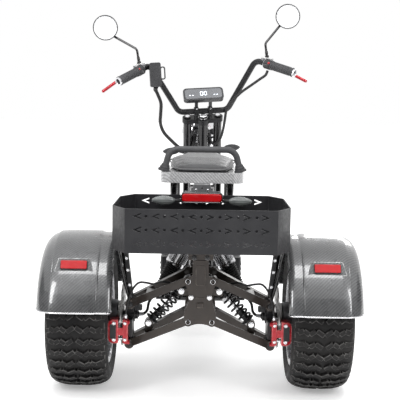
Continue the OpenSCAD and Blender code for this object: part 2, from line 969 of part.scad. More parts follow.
shock_low = [150, shock_y, 275];
shock_high = [34, shock_y, 478];
shock_eye_r = 13;
shock_lug_r = 16;
module rear_shock() {
    length = norm(shock_high - shock_low);
    difference() {
        union() {
            x_cylinder(shock_high.x - 12, shock_high.x + 12, shock_high.y, shock_high.z, shock_eye_r);
            along(shock_low, shock_high) {
                translate([0, 0, 18])
                    cylinder(h = 94, r1 = 22, r2 = 32);
                translate([0, 0, 111.5])
                    cylinder(h = length - 111.5 - 18, r = 34);
                translate([0, 0, length - 19])
                    cylinder(h = 14, r = 10);
            }
        }
        x_cylinder(-30, 230, shock_y, shock_low.z, shock_lug_r + seat_gap);
    }
}

module rear_shocks() {
    color(bright_metal)
        placed()
            both_sides()
                rear_shock();
}

// ---------- basket ----------

basket_cut_x = 44;
basket_cut_y = 85;

// An eight-sided outline, moved in by t
function basket_line(t) =
    let (
        a = basket_w / 2,
        b = basket_l / 2,
        c = basket_cut_y * a + basket_cut_x * (b - basket_cut_y)
            - t * norm([basket_cut_x, basket_cut_y]),
        x = (c - basket_cut_x * (b - t)) / basket_cut_y,
        y = (c - basket_cut_y * (a - t)) / basket_cut_x
    )
    [
        [x, b - t], [-x, b - t], [-a + t, y], [-a + t, -y],
        [-x, -b + t], [x, -b + t], [a - t, -y], [a - t, y]
    ];

arrow_w = 26;
arrow_h = 20;
arrow_t = 5;
dot_r = 4.5;
row_drops = [22, 63, 104];

// An arrow cut that points along +x
module arrow() {
    polygon([
        [arrow_w / 2, 0], [-arrow_w / 2, arrow_h / 2], [-arrow_w / 2, arrow_h / 2 - arrow_t],
        [arrow_w / 2 - arrow_t * 2.4, 0],
        [-arrow_w / 2, -arrow_h / 2 + arrow_t], [-arrow_w / 2, -arrow_h / 2]
    ]);
}

// Arrows and dots of one wall, pointing away from its middle
module wall_cuts(per_side) {
    for (drop = row_drops)
        translate([0, basket_h - drop]) {
            for (s = [-1, 1], k = [0 : per_side - 1])
                mirror([s < 0 ? 1 : 0, 0])
                    translate([arrow_pitch * (k + 0.5), 0])
                        arrow();
            for (k = [1 - per_side : per_side - 1])
                translate([arrow_pitch * k, 0])
                    circle(r = dot_r, $fn = 24);
        }
}

module basket() {
    color(satin_black)
        placed()
            translate([0, basket_back_y + basket_l / 2, basket_z])
                difference() {
                    linear_extrude(basket_h)
                        polygon(basket_line(0));
                    translate([0, 0, basket_t])
                        linear_extrude(basket_h)
                            polygon(basket_line(basket_t));
                    for (y = [-1, 1])
                        upright(y * (basket_l / 2 - basket_t / 2) - 5, y * (basket_l / 2 - basket_t / 2) + 5)
                            wall_cuts(4);
                    for (x = [-1, 1])
                        translate([x * (basket_w / 2 - basket_t / 2), 0, 0])
                            rotate([0, 0, 90])
                                upright(-5, 5)
                                    wall_cuts(2);
                }
}

module basket_bracket() {
    top = basket_z - seat_gap;
    color(frame_bronze)
        placed() {
            difference() {
                translate([-flange_w / 2, -124, flange_z + flange_t + seat_gap])
                    cube([flange_w, 92, 20]);
                for (s = [-1, 1])
                    translate([s * 21, -75, flange_z])
                        cylinder(h = 60, r = 4.2);
            }
            for (y = [-110, -50])
                translate([-180, y, top - 20])
                    cube([360, 16, 20]);
        }
}

// ---------- seat and tail ----------

module tail_cowl() {
    color(carbon_grey)
        placed()
            translate([0, cowl_back_y + cowl_l / 2, cowl_top_z - 36])
                difference() {
                    linear_extrude(36)
                        round_rect(cowl_w, cowl_l, 44);
                    translate([0, 0, -fender_t])
                        linear_extrude(36)
                            round_rect(cowl_w - 2 * fender_t, cowl_l - 2 * fender_t, 40);
                    // open at the front, where the seat rails pass
                    translate([-cowl_w / 2 + 30, cowl_l / 2 - 10, -1])
                        cube([cowl_w - 60, 20, 36 - fender_t + 1]);
                }
}

module grab_rail() {
    foot_z = cowl_top_z + seat_gap + 2.8;
    color(satin_black)
        placed()
            bent_tube([
                [-132, 150, foot_z],
                [-112, 150, 786],
                [112, 150, 786],
                [132, 150, foot_z]
            ], 38, 11);
}

module seat() {
    back_half = 92;
    nose_half = 70;
    color([0.22, 0.22, 0.23])
        placed()
            translate([0, 0, cowl_top_z + seat_gap])
                hull() {
                    for (s = [-1, 1]) {
                        translate([s * (back_half - 40), seat_back_y + 40, 0])
                            cylinder(h = seat_t - 18, r = 40, $fn = 32);
                        translate([s * (seat_w / 2 - 60), seat_back_y + 200, 0])
                            cylinder(h = seat_t, r = 60, $fn = 32);
                        translate([s * (nose_half - 40), seat_back_y + seat_l - 40, 0])
                            cylinder(h = seat_t - 6, r = 40, $fn = 32);
                    }
                }
}

lamp_z = 611;
lamp_h = 35;
lamp_w = 144;
lamp_y = 66;
module tail_light() {
    color(signal_red)
        placed()
            translate([0, 0, lamp_z + lamp_h / 2])
                upright(lamp_y - 24, lamp_y + 12)
                    round_rect(lamp_w, lamp_h, 12);
}

plate_hole_r = 3;
plate_hole_t = 3;
module plate_bracket() {
    hole_z = 660;
    top_z = cowl_top_z - 36 - seat_gap;
    back_y = lamp_y - 8;
    color([0.5, 0.5, 0.52])
        placed()
            difference() {
                union() {
                    upright(back_y, back_y + plate_hole_t)
                        polygon([
                            [-35, lamp_z + lamp_h + seat_gap], [35, lamp_z + lamp_h + seat_gap],
                            [28, top_z], [-28, top_z]
                        ]);
                    translate([-28, back_y, top_z - 3])
                        cube([56, cowl_back_y + 8 - back_y, 3]);
                    // shelf that the lamp and the signals hang on
                    translate([-60, back_y, lamp_z + lamp_h + seat_gap])
                        cube([120, 20, 3]);
                }
                y_cylinder(0, back_y - 5, back_y + 10, hole_z, plate_hole_r);
            }
}

// A pod pointed at both ends, turned about its long axis
module pod(l, r) {
    rotate([0, 90, 0])
        rotate_extrude($fn = 40)
            polygon([for (a = [0 : 10 : 180]) [r * pow(sin(a), 0.85) + tiny, -l / 2 * cos(a)]]);
}

module rear_signals() {
    inner = lamp_w / 2 + seat_gap;
    color(bright_metal)
        placed()
            both_sides() {
                translate([131, lamp_y - 4, 617])
                    pod(82, 16.5);
                x_cylinder(inner, 96, lamp_y - 4, 617, 6);
            }
}

// Brake hoses: from each caliper in an arc over the upper arm to the tower
module rear_hoses() {
    route = [
        [243, -95, 245], [241, -97, 270], [233, -98, 305], [220, -99, 342], [200, -100, 364],
        [176, -97, 364], [150, -88, 358], [126, -72, 363], [104, -56, 358],
        [84, -52, 354], [62, -48, 350], [40, -48, 338], [spine_gap + 1, -48, 326]
    ];
    color(gloss_black)
        placed()
            both_sides()
                swept(smooth(route, 2), 3.5, 8);
}

// Motor cables: from each axle stub, up behind the coilover and in to the tower
module motor_cables() {
    route = [
        [knuckle_x - 18 - seat_gap, 0, rear_tyre_r], [190, 2, 239], [178, 10, 250], [172, 24, 276],
        [150, 34, 296], [100, 36, 304], [60, 34, 304], [spine_gap, 30, 300]
    ];
    color(gloss_black)
        placed()
            both_sides()
                swept(smooth(route, 2), 4.5, 8);
}

// ---------- front end, drawn in the steering axis's frame ----------

fork_x = fork_gap / 2;
bar_rise = 36;         // height of the handlebar over the upper clamp
riser_x = 30;
clamp_t = 22;
lower_clamp_t = 28;
slider_top = -420;

module clamp_plate(t, leg_r) {
    difference() {
        linear_extrude(t)
            difference() {
                union() {
                    for (s = [-1, 1])
                        translate([s * fork_x, fork_offset])
                            circle(r = leg_r + 7);
                    translate([-fork_x, -6])
                        square([fork_gap, fork_offset + 26]);
                    circle(r = 26);
                }
                for (s = [-1, 1])
                    translate([s * fork_x, fork_offset])
                        circle(r = leg_r + run_gap);
            }
        translate([0, 0, -1])
            cylinder(h = t + 2, r = stem_r + run_gap);
    }
}

module fork_clamps() {
    color(satin_black)
        placed()
            fork_frame() {
                translate([0, 0, -clamp_t])
                    clamp_plate(clamp_t, fork_tube_r);
                translate([0, 0, -clamp_drop - lower_clamp_t])
                    clamp_plate(lower_clamp_t, fork_tube_r);
                translate([0, 0, -clamp_drop - lower_clamp_t])
                    cylinder(h = clamp_drop + lower_clamp_t + 6, r = stem_r);
                cylinder(h = 12, r = 18);
                // the two risers that clamp the handlebar
                for (s = [-1, 1])
                    difference() {
                        union() {
                            translate([s * riser_x, 0, -1])
                                cylinder(h = bar_rise, r = 9);
                            x_cylinder(s * riser_x - 9, s * riser_x + 9, 0, bar_rise, bar_r + 7);
                        }
                        x_cylinder(s * riser_x - 10, s * riser_x + 10, 0, bar_rise, bar_r + seat_gap);
                    }
            }
}

module fork() {
    foot = 26;
    color(bright_metal)
        placed()
            fork_frame() {
                for (s = [-1, 1])
                    translate([s * fork_x, fork_offset, 0]) {
                        translate([0, 0, slider_top - 20])
                            cylinder(h = -slider_top + 20 + 6, r = fork_tube_r);
                        translate([0, 0, -front_axle_drop - foot])
                            cylinder(h = front_axle_drop + foot + slider_top, r = slider_r);
                    }
                translate([0, fork_offset, -front_axle_drop])
                    x_cylinder(-fork_x - slider_r - 8, fork_x + slider_r + 8, 0, 0, front_axle_r);
            }
}

module front_wheel_place() {
    placed()
        fork_frame()
            translate([0, fork_offset, -front_axle_drop])
                children();
}

module front_tyre() {
    color(gloss_black)
        front_wheel_place()
            tyre(front_tyre_r, front_tyre_w, front_bead_r, 0.8);
}

front_disc_r = 92;
front_disc_x = 34;
module front_rim() {
    spokes = 5;
    hub = 26;
    color(bright_metal)
        front_wheel_place()
            difference() {
                union() {
                    barrel(front_tyre_w, front_bead_r, barrel_depth);
                    x_cylinder(-42, front_disc_x - disc_t / 2 - seat_gap, 0, 0, hub);
                    for (k = [0 : spokes - 1])
                        rotate([360 / spokes * k, 0, 0])
                            translate([-11, -11, hub - 4])
                                cube([22, 22, front_bead_r - barrel_depth - hub + 7]);
                }
                x_cylinder(-60, 60, 0, 0, front_axle_r + run_gap);
            }
}

module front_disc() {
    color(bright_metal)
        front_wheel_place()
            difference() {
                x_cylinder(front_disc_x - disc_t / 2, front_disc_x + disc_t / 2, 0, 0, front_disc_r);
                x_cylinder(-60, 60, 0, 0, front_axle_r + 3);
            }
}

module front_caliper() {
    // carried on the right slider, its jaws around the disc
    back = -100;
    color(signal_red)
        front_wheel_place()
            difference() {
                union() {
                    translate([front_disc_x - 17, back, 12])
                        cube([fork_x + 8 - front_disc_x + 17, 44, 52]);
                    translate([fork_x - 8, back + 30, 22])
                        cube([16, -back - 30 - slider_r - seat_gap, 34]);
                }
                translate([front_disc_x - disc_t / 2 - 5, back + 4, 0])
                    cube([disc_t + 10, 80, 90]);
            }
}

// The front fender hugs the tyre between the fork sliders
module front_fender() {
    gap = 9;
    half = fork_x - slider_r - seat_gap;
    color(carbon_grey)
        front_wheel_place()
            difference() {
                rotate([0, 90, 0])
                    rotate_extrude($fn = 96)
                        polygon([
                            [front_tyre_r - 18, -half], [front_tyre_r + gap - 8, -half],
                            [front_tyre_r + gap + 4, -half + 22], [front_tyre_r + gap + 7, 0],
                            [front_tyre_r + gap + 4, half - 22], [front_tyre_r + gap - 8, half],
                            [front_tyre_r - 18, half], [front_tyre_r - 18, half - 3],
                            [front_tyre_r + gap - 11, half - 3], [front_tyre_r + gap, half - 22],
                            [front_tyre_r + gap + 3, 0], [front_tyre_r + gap, -half + 22],
                            [front_tyre_r + gap - 11, -half + 3], [front_tyre_r - 18, -half + 3]
                        ]);
                translate([-100, -400, -800])
                    cube([200, 800, 800 + 20]);
                rotate([38, 0, 0])
                    translate([-100, 0, -400])
                        cube([200, 400, 400 + 20]);
            }
}

headlight_y = 92;
headlight_r = 80;
headlight_z = -130;
gland_y = 44;
module headlight() {
    color(bright_metal)
        placed()
            fork_frame()
                translate([0, headlight_y, headlight_z]) {
                    rotate([-rake, 0, 0])
                        rotate([-90, 0, 0])
                            rotate_extrude($fn = 72)
                                polygon(concat(
                                    [for (a = [0 : 10 : 90]) [headlight_r * sin(a), -46 * cos(a)]],
                                    [[headlight_r, 14], [headlight_r - 6, 24], [0, 30]]
                                ));
                    for (s = [-1, 1]) {
                        rod([s * 60, 10, 0], [s * fork_x, fork_offset - headlight_y + fork_tube_r + seat_gap, 0], 6);
                        // gland that a loom goes into
                        y_cylinder(s * 30, gland_y - headlight_y, 0, -110 - headlight_z, 9);
                    }
                }
}

module front_signals() {
    y = 34;
    z = -176;
    color(bright_metal)
        placed()
            fork_frame()
                both_sides() {
                    translate([136, y, z])
                        pod(76, 16);
                    rod([fork_x + fork_tube_r + seat_gap + 3, fork_offset, z], [112, y, z], 6);
                }
}

// ---------- handlebar, drawn straight ahead and then steered ----------

bar_mid = steer_top + steer_up * bar_rise;
bar_foot = [104, bar_mid.y, bar_mid.z];
bar_top = [224, bar_mid.y - 78, 1108];
bar_end = bar_top + [136, -115, -62];
grip_start = bar_top + (bar_end - bar_top) * 0.42;

module handlebar() {
    color(satin_black)
        placed()
            steered() {
                bent_tube([
                    [-bar_end.x, bar_end.y, bar_end.z], [-bar_top.x, bar_top.y, bar_top.z],
                    [-bar_foot.x, bar_foot.y, bar_foot.z], bar_foot, bar_top, bar_end
                ], 34, bar_r);
            }
}

module grips() {
    color(gloss_black)
        placed()
            steered()
                both_sides()
                    difference() {
                        rod(grip_start, bar_end, grip_r);
                        along(grip_start, bar_end)
                            translate([0, 0, -1])
                                cylinder(h = norm(bar_end - grip_start) + 2, r = bar_r + seat_gap);
                    }
}

perch_at = bar_top + (bar_end - bar_top) * 0.3;
lever_root = perch_at + [6, 40, 4];
lever_elbow = lever_root + [34, 8, -8];
lever_tip = bar_end + [64, 68, -36];
module brake_levers() {
    color(signal_red)
        placed()
            steered()
                both_sides() {
                    bar(lever_root, lever_elbow + (lever_elbow - lever_root) * 0.1, 9, 13);
                    bar(lever_elbow, lever_tip, 8, 12);
                }
}

module hand_controls() {
    color(bright_metal)
        placed()
            steered()
                both_sides() {
                    difference() {
                        union() {
                            along(grip_start, bar_end)
                                translate([0, 0, -32])
                                    cylinder(h = 31, r = 21);
                            bar(perch_at, lever_root - [0, 4.9, 0], 20, 20);
                            bar(perch_at + [-22, 16, 18], perch_at + [30, 16, 8], 24, 22);
                        }
                        along(bar_top, bar_end)
                            cylinder(h = 400, r = bar_r + seat_gap);
                    }
                }
}

// Each mirror: a round head on a bent stem that starts at the hand controls
mirror_left = bar_end + [38, 125, 224];
mirror_right = bar_end + [8, 110, 238];
module mirror_at(head, lean) {
    foot = perch_at + [4, 14, 25.6];
    bent_tube([foot, foot + [lean, 4, 60], head + [-30, 16, -34], head + [0, 14, 0]], 18, 5);
    translate(head)
        rotate([-84, 0, 0])
            rotate_extrude($fn = 64)
                polygon([
                    [0, 0], [mirror_r - 3, 0], [mirror_r, 3], [mirror_r, 8],
                    [mirror_r - 12, 15], [mirror_r - 30, 19], [0, 20]
                ]);
}
module mirrors() {
    color(satin_black)
        placed()
            steered() {
                on_side(-1)
                    mirror_at(mirror_left, 6);
                on_side(1)
                    mirror_at(mirror_right, -4);
            }
}

display_w = 172;
display_h = 62;
display_t = 22;
module display() {
    stand_z = bar_rise + bar_r + 7 + seat_gap;
    color(gloss_black)
        placed()
            fork_frame() {
                translate([0, 6, bar_rise + 74])
                    rotate([55 - rake, 0, 0])
                        translate([0, 0, -display_t / 2])
                            linear_extrude(display_t)
                                round_rect(display_w, display_h, 16);
                for (s = [-1, 1])
                    translate([s * riser_x - 7, -6, stand_z])
                        cube([14, 14, bar_rise + 70 - stand_z]);
            }
}

box_mid = [-206, bar_top.y - 39, 1066];
box_deep = 38;
module handlebar_box() {
    bar_at = bar_foot + (bar_top - bar_foot) * (box_mid.z - bar_foot.z) / (bar_top.z - bar_foot.z);
    clamp_mid = [-bar_at.x, bar_at.y, bar_at.z];
    lean = unit([bar_foot.x - bar_top.x, bar_top.y - bar_foot.y, bar_top.z - bar_foot.z]);
    box_front = box_mid.y + box_deep / 2;
    color(satin_black)
        placed()
            steered()
                difference() {
                    union() {
                        translate(box_mid)
                            upright(-box_deep / 2, box_deep / 2)
                                round_rect(46, 100, 8);
                        // loop handle on the inboard side
                        translate(box_mid + [31, 0, 6])
                            upright(-4, 4)
                                difference() {
                                    round_rect(22, 54, 9);
                                    round_rect(12, 44, 5);
                                }
                        // clamp that carries the box on the bar
                        rod(clamp_mid - lean * 12, clamp_mid + lean * 12, bar_r + 6);
                        translate([clamp_mid.x - 9, box_front - 1, clamp_mid.z - 9])
                            cube([18, clamp_mid.y - box_front, 18]);
                    }
                    rod(clamp_mid - lean * 40, clamp_mid + lean * 40, bar_r + seat_gap);
                }
}

module loom_left() {
    route = [
        [-207, -34, 168], [-198, -42, 148], [-186, -47, 110], [-188, -52, 64], [-190, -56, 20],
        [-176, -56, -26], [-142, -50, -74], [-110, -39, -114], [-80, -24, -140], [-54, -6, -146],
        [-38, 16, -132], [-30, 31, -112], [-30, gland_y - 0.8, -110]
    ];
    color(gloss_black)
        placed()
            fork_frame()
                swept(smooth(route, 2), 7, 10);
}

module loom_right() {
    route = [
        [266, -28, 228], [256, -37, 212], [232, -40, 196], [198, -36, 168], [158, -30, 134],
        [122, -28, 94], [98, -24, 50], [92, -20, 0], [86, -18, -50], [74, -18, -95],
        [52, -6, -128], [38, 16, -128], [30, 31, -112], [30, gland_y - 0.8, -110]
    ];
    color(gloss_black)
        placed()
            fork_frame()
                swept(smooth(route, 2), 6, 10);
}

rear_tower();
cross_tube();
main_frame();
seat_frame();
battery_box();
floor_deck();
upper_arms();
lower_arms();
coilovers();
coil_springs();
rear_shocks();
knuckle(-1);  // knuckle_left
knuckle(1);  // knuckle_right
rear_calipers();
fender(-1);  // rear_fender_left
fender(1);  // rear_fender_right
fender_reflectors();
basket();
basket_bracket();
tail_light();
plate_bracket();
rear_signals();
tail_cowl();
grab_rail();
seat();
rear_hoses();
motor_cables();
rear_tyre_at(-1);  // rear_tyre_left
rear_rim_at(-1);  // rear_rim_left
rear_disc_at(-1);  // rear_disc_left
rear_tyre_at(1);  // rear_tyre_right
rear_rim_at(1);  // rear_rim_right
rear_disc_at(1);  // rear_disc_right
fork();
fork_clamps();
front_fender();
front_caliper();
headlight();
front_signals();
handlebar();
grips();
brake_levers();
hand_controls();
mirrors();
display();
handlebar_box();
loom_left();
loom_right();
front_tyre();
front_rim();
front_disc();
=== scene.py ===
"""The looks of a motorized trike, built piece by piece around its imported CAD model.

Every sub-assembly is a class that builds its meshes and dresses them. Unless a line says
otherwise, lengths are millimetres, angles are degrees, and y counts forward from the rear
axle line.
"""

from __future__ import annotations

import json
import logging
import math
from dataclasses import dataclass, replace
from enum import Enum
from typing import Iterable, Optional, Sequence, Union

import bmesh
import bpy
from mathutils import Matrix, Vector

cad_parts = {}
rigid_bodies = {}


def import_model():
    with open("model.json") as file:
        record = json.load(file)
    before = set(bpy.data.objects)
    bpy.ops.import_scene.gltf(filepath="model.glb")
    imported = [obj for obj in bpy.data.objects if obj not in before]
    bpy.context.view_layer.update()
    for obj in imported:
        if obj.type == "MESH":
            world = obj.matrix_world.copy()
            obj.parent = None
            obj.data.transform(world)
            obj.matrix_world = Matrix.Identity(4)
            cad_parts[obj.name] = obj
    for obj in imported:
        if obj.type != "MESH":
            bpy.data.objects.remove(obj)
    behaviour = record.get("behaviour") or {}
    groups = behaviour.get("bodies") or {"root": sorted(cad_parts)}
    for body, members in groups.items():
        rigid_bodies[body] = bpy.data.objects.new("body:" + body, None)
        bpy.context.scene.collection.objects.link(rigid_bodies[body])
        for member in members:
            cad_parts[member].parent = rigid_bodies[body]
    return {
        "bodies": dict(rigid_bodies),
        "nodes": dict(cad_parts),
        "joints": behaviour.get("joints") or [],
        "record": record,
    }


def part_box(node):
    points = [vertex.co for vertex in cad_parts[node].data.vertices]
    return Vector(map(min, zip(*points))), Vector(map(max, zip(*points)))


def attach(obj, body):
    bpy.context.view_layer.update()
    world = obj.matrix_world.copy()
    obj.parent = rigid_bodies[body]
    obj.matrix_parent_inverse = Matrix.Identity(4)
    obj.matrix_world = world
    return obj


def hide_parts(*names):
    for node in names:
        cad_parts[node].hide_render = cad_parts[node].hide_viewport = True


LOG = logging.getLogger("trike")
MM = 0.001
FULL_TURN = 2 * math.pi

Point = Sequence[float]
Pair = tuple[float, float]
Triple = tuple[float, float, float]
Colour = Triple
Socket = bpy.types.NodeSocket
Input = Union[Socket, float, Sequence[float]]
Inputs = dict[Union[str, int], Input]

SIDES = (-1, 1)
# CAD edges sharper than this are rounded
CAD_ANGLE = 34.0
# Points of a mesh closer than this, in metres, become one
WELD = 1e-6
CURVE_WELD = 2e-6
CAD_WELD = 1e-5
# Faces that meet at more than this keep a crisp edge, by how a piece is made
MACHINED, CAST, TURNED, DRAWN = 30.0, 32.0, 40.0, 60.0
# Half a rim's width as a share of its tyre's width
RIM_SHARE = 0.42
# Where a noise's values lie, for the patterns that use its whole range
NOISE_SPAN = (0.3, 0.7)


class Body(str, Enum):
    """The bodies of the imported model."""

    CHASSIS = "chassis"
    WHEEL_LEFT = "rear_wheel_left"
    WHEEL_RIGHT = "rear_wheel_right"
    STEERING = "steering"
    FRONT_WHEEL = "front_wheel"


class Side(Enum):
    """A side of the vehicle, with the sign that x has there."""

    LEFT = -1
    RIGHT = 1


# ---------- finishes ----------


class Graph:
    """A node material while it is being put together."""

    def __init__(self, name: str) -> None:
        """Start from a plain shader."""
        self.material = bpy.data.materials.new(name)
        self.material.use_nodes = True
        self.tree = self.material.node_tree
        self.shader = self.tree.nodes["Principled BSDF"]

    def feed(self, node: bpy.types.Node, inputs: Inputs) -> None:
        """Set or link a node's inputs."""
        for key, value in inputs.items():
            if isinstance(value, Socket):
                self.tree.links.new(value, node.inputs[key])
            else:
                node.inputs[key].default_value = value

    def add(self, kind: str, inputs: Inputs, **settings: object) -> bpy.types.Node:
        """Add a node of a kind that Blender names with ShaderNode before it."""
        node = self.tree.nodes.new("ShaderNode" + kind)
        for key, value in settings.items():
            setattr(node, key, value)
        self.feed(node, inputs)
        return node

    def place(self, stretch: Point = (1, 1, 1)) -> Socket:
        """Give the piece's own coordinates in metres, scaled by stretch."""
        source = self.add("TexCoord", {}).outputs["Object"]
        return self.add("Mapping", {"Vector": source, "Scale": stretch}).outputs[0]

    def noise(self, at: Socket, scale: float, detail: float = 3.0) -> Socket:
        """Give a noise pattern with scale cells per metre and detail octaves."""
        return self.add("TexNoise", {"Vector": at, "Scale": scale, "Detail": detail}).outputs[0]

    def ramp(self, value: Input, low: float, high: float, start: float = 0.0,
             end: float = 1.0) -> Socket:
        """Map a value from low and high to start and end, clamped."""
        return self.add("MapRange", {0: value, 1: low, 2: high, 3: start, 4: end}).outputs[0]

    def blend(self, factor: Input, first: Input, second: Input) -> Socket:
        """Mix two colours or sockets; factor is the share of the second."""
        first, second = (c if isinstance(c, Socket) else (*c, 1) for c in (first, second))
        return self.add("Mix", {0: factor, 6: first, 7: second}, data_type="RGBA").outputs[2]

    def sum(self, operation: str, first: Input, second: Input = 0.0) -> Socket:
        """Do the named arithmetic on two values."""
        return self.add("Math", {0: first, 1: second}, operation=operation).outputs[0]

    def bump(self, height: Input, depth: float, strength: float = 1.0) -> None:
        """Give the shader a relief of a height pattern, depth metres high."""
        inputs = {"Height": height, "Distance": depth, "Strength": strength}
        self.feed(self.shader, {"Normal": self.add("Bump", inputs).outputs[0]})


@dataclass(frozen=True)
class Finish:
    """Paint, plating, rubber or moulded plastic: mottled, grained and lightened at its edges, by wear on most
    finishes and by a painted highlight on the fender carbon, the basket and the tyres.
    """

    name: str
    slot: str
    colour: Colour
    second: Colour
    rough: Pair = (0.4, 0.55)
    metal: float = 0.0
    coat: float = 0.0
    spots: float = 14.0
    grain: float = 900.0
    depth: float = 0.0001
    stretch: Triple = (1.0, 1.0, 1.0)
    # colour of the rounded edges: wear on most finishes, a painted highlight on the fender carbon, the basket
    # and the tyres
    edge_wear_and_highlight: Optional[Colour] = None
    shine: float = 0.32

    def material(self) -> bpy.types.Material:
        """Give the finish's material, made once."""
        found = bpy.data.materials.get(self.name)
        return found if found else self.make().material

    def make(self) -> Graph:
        """Put the node material together."""
        graph = Graph(self.name)
        at = graph.place(self.stretch)
        mottle = graph.ramp(graph.noise(at, self.spots, 5), *NOISE_SPAN)
        grain = graph.noise(at, self.grain, 2)
        graph.feed(graph.shader, {
            "Base Color": self.edges(graph, at, graph.blend(mottle, self.colour, self.second)),
            "Roughness": graph.ramp(graph.noise(at, self.spots * 6, 4), *NOISE_SPAN, *self.rough),
            "Metallic": self.metal,
            "Specular IOR Level": self.shine,
            "Coat Weight": self.coat,
            "Coat Roughness": 0.06,
        })
        graph.bump(grain, self.depth, 0.6)
        return graph

    def edges(self, graph: Graph, at: Socket, colour: Socket) -> Socket:
        """Lighten the rounded edges: as wear where hands and stones rub them, and as a painted highlight on
        the fender carbon, the basket and the tyres.
        """
        if self.edge_wear_and_highlight is None:
            return colour
        rubbed_and_lit_edge = graph.add("Attribute", {}, attribute_name="edge_wear_and_highlight_mask").outputs["Fac"]
        patches = graph.ramp(graph.noise(at, 60, 6), 0.4, 0.62, 0.15, 0.9)
        return graph.blend(graph.sum("MULTIPLY", rubbed_and_lit_edge, patches), colour, self.edge_wear_and_highlight)


@dataclass(frozen=True)
class CarbonFinish(Finish):
    """Carbon twill under clear lacquer; it can wrap round a line along x."""

    pitch: float = 0.0028
    wrap: Optional[Pair] = None
    wrap_radius: float = 0.28
    shadow: float = 0.72
    repeat: float = 4.0
    over: float = 1.9

    def make(self) -> Graph:
        """Put the weave together."""
        graph = Graph(self.name)
        at = graph.place()
        split = graph.add("SeparateXYZ", {0: at})
        across, along, up = split.outputs[:3]
        if self.wrap is None:
            length = graph.sum("ADD", along, up)
        else:
            angle = graph.sum("ARCTAN2", graph.sum("SUBTRACT", up, self.wrap[1]),
                              graph.sum("SUBTRACT", along, self.wrap[0]))
            length = graph.sum("MULTIPLY", angle, self.wrap_radius)
        warp = graph.sum("DIVIDE", across, self.pitch)
        weft = graph.sum("DIVIDE", length, self.pitch)
        step = graph.sum("ADD", graph.sum("FLOOR", warp), graph.sum("FLOOR", weft))
        above = graph.sum("LESS_THAN", graph.sum("FLOORED_MODULO", step, self.repeat), self.over)
        sides = [self.tow(graph, value) for value in (warp, weft)]
        height = graph.add("Mix", {0: above, 2: sides[0], 3: sides[1]}).outputs[0]
        shade = graph.sum("ADD", graph.sum("MULTIPLY", height, 0.45), graph.sum("MULTIPLY", above, 0.45))
        cloudy = graph.blend(graph.noise(at, self.spots, 3), self.second, self.colour)
        graph.feed(graph.shader, {
            "Base Color": self.edges(
                graph, at, graph.blend(shade, graph.blend(self.shadow, cloudy, (0.0, 0.0, 0.0)), cloudy)),
            "Roughness": graph.ramp(graph.noise(at, 40, 3), *NOISE_SPAN, *self.rough),
            "Metallic": self.metal,
            "Coat Weight": self.coat,
            "Coat Roughness": 0.05,
        })
        graph.bump(height, self.depth, 0.35)
        return graph

    def tow(self, graph: Graph, value: Socket) -> Socket:
        """Round off each thread of the weave."""
        return graph.sum("ABSOLUTE", graph.sum("SINE", graph.sum("MULTIPLY", value, math.pi)))


@dataclass(frozen=True)
class LeatherFinish(Finish):
    """Soft grained seat cover with pores and creases."""

    def make(self) -> Graph:
        """Put the grain together."""
        graph = super().make()
        at = graph.place()
        inputs = {"Vector": at, "Scale": self.grain, "Randomness": 0.9}
        cells = graph.add("TexVoronoi", inputs, feature="DISTANCE_TO_EDGE").outputs[0]
        creases = graph.ramp(graph.noise(at, 35, 6), 0.42, 0.5)
        height = graph.sum("ADD", graph.ramp(cells, 0.0, 0.12), graph.sum("MULTIPLY", creases, 0.35))
        graph.bump(height, self.depth, 0.5)
        graph.feed(graph.shader, {"Sheen Weight": 0.25})
        return graph


@dataclass(frozen=True)
class LensFinish(Finish):
    """Clear or coloured lamp glass with moulded flutes."""

    clear: float = 0.6
    glow: float = 0.0
    flutes: float = 220.0

    def make(self) -> Graph:
        """Put the glass together."""
        graph = super().make()
        inputs = {"Vector": graph.place(), "Scale": self.flutes, "Randomness": 0.35}
        cells = graph.add("TexVoronoi", inputs).outputs[0]
        graph.bump(cells, self.depth, 0.5)
        graph.feed(graph.shader, {
            "Transmission Weight": self.clear,
            "IOR": 1.49,
            "Emission Color": (*self.colour, 1),
            "Emission Strength": self.glow,
        })
        return graph


BRONZE = Finish("bronze_paint", "frame_bronze", (0.028, 0.0225, 0.019), (0.042, 0.033, 0.028),
                (0.3, 0.46), 0.35, 0.25, edge_wear_and_highlight=(0.2, 0.17, 0.145), grain=1400)
GLOSS_BLACK = Finish("gloss_black_paint", "gloss_black_metal", (0.008, 0.008, 0.009), (0.02, 0.019, 0.02),
                     (0.14, 0.26), 0.2, 0.6, edge_wear_and_highlight=(0.12, 0.115, 0.11), grain=500)
SATIN_BLACK = Finish("satin_black_paint", "satin_black_metal", (0.014, 0.014, 0.015), (0.026, 0.026, 0.028),
                     (0.32, 0.48), 0.3, 0.1, edge_wear_and_highlight=(0.2, 0.2, 0.2), grain=1200)
# its lighter edges, the cut-outs' rims among them, are a painted highlight
BASKET_BLACK = Finish("basket_powder_coat", "satin_black_metal", (0.016, 0.016, 0.018), (0.024, 0.024, 0.026),
                      (0.42, 0.58), 0.0, 0.1, grain=1600, depth=0.00018, edge_wear_and_highlight=(0.16, 0.16, 0.16), shine=0.22)
RED_METAL = Finish("red_anodised", "red_metal", (0.46, 0.005, 0.016), (0.34, 0.003, 0.01),
                   (0.24, 0.36), 0.35, 0.5, edge_wear_and_highlight=(0.8, 0.2, 0.2), grain=900)
GREY_METAL = Finish("grey_cast_metal", "grey_metal", (0.3, 0.3, 0.31), (0.2, 0.2, 0.21),
                    (0.34, 0.5), 0.9, 0.0, edge_wear_and_highlight=(0.6, 0.6, 0.6), grain=500, depth=0.00005)
POLISHED = Finish("polished_alloy_metal", "polished_alloy", (0.78, 0.78, 0.79), (0.6, 0.6, 0.62),
                  (0.14, 0.26), 1.0, 0.0, grain=260, depth=0.00001)
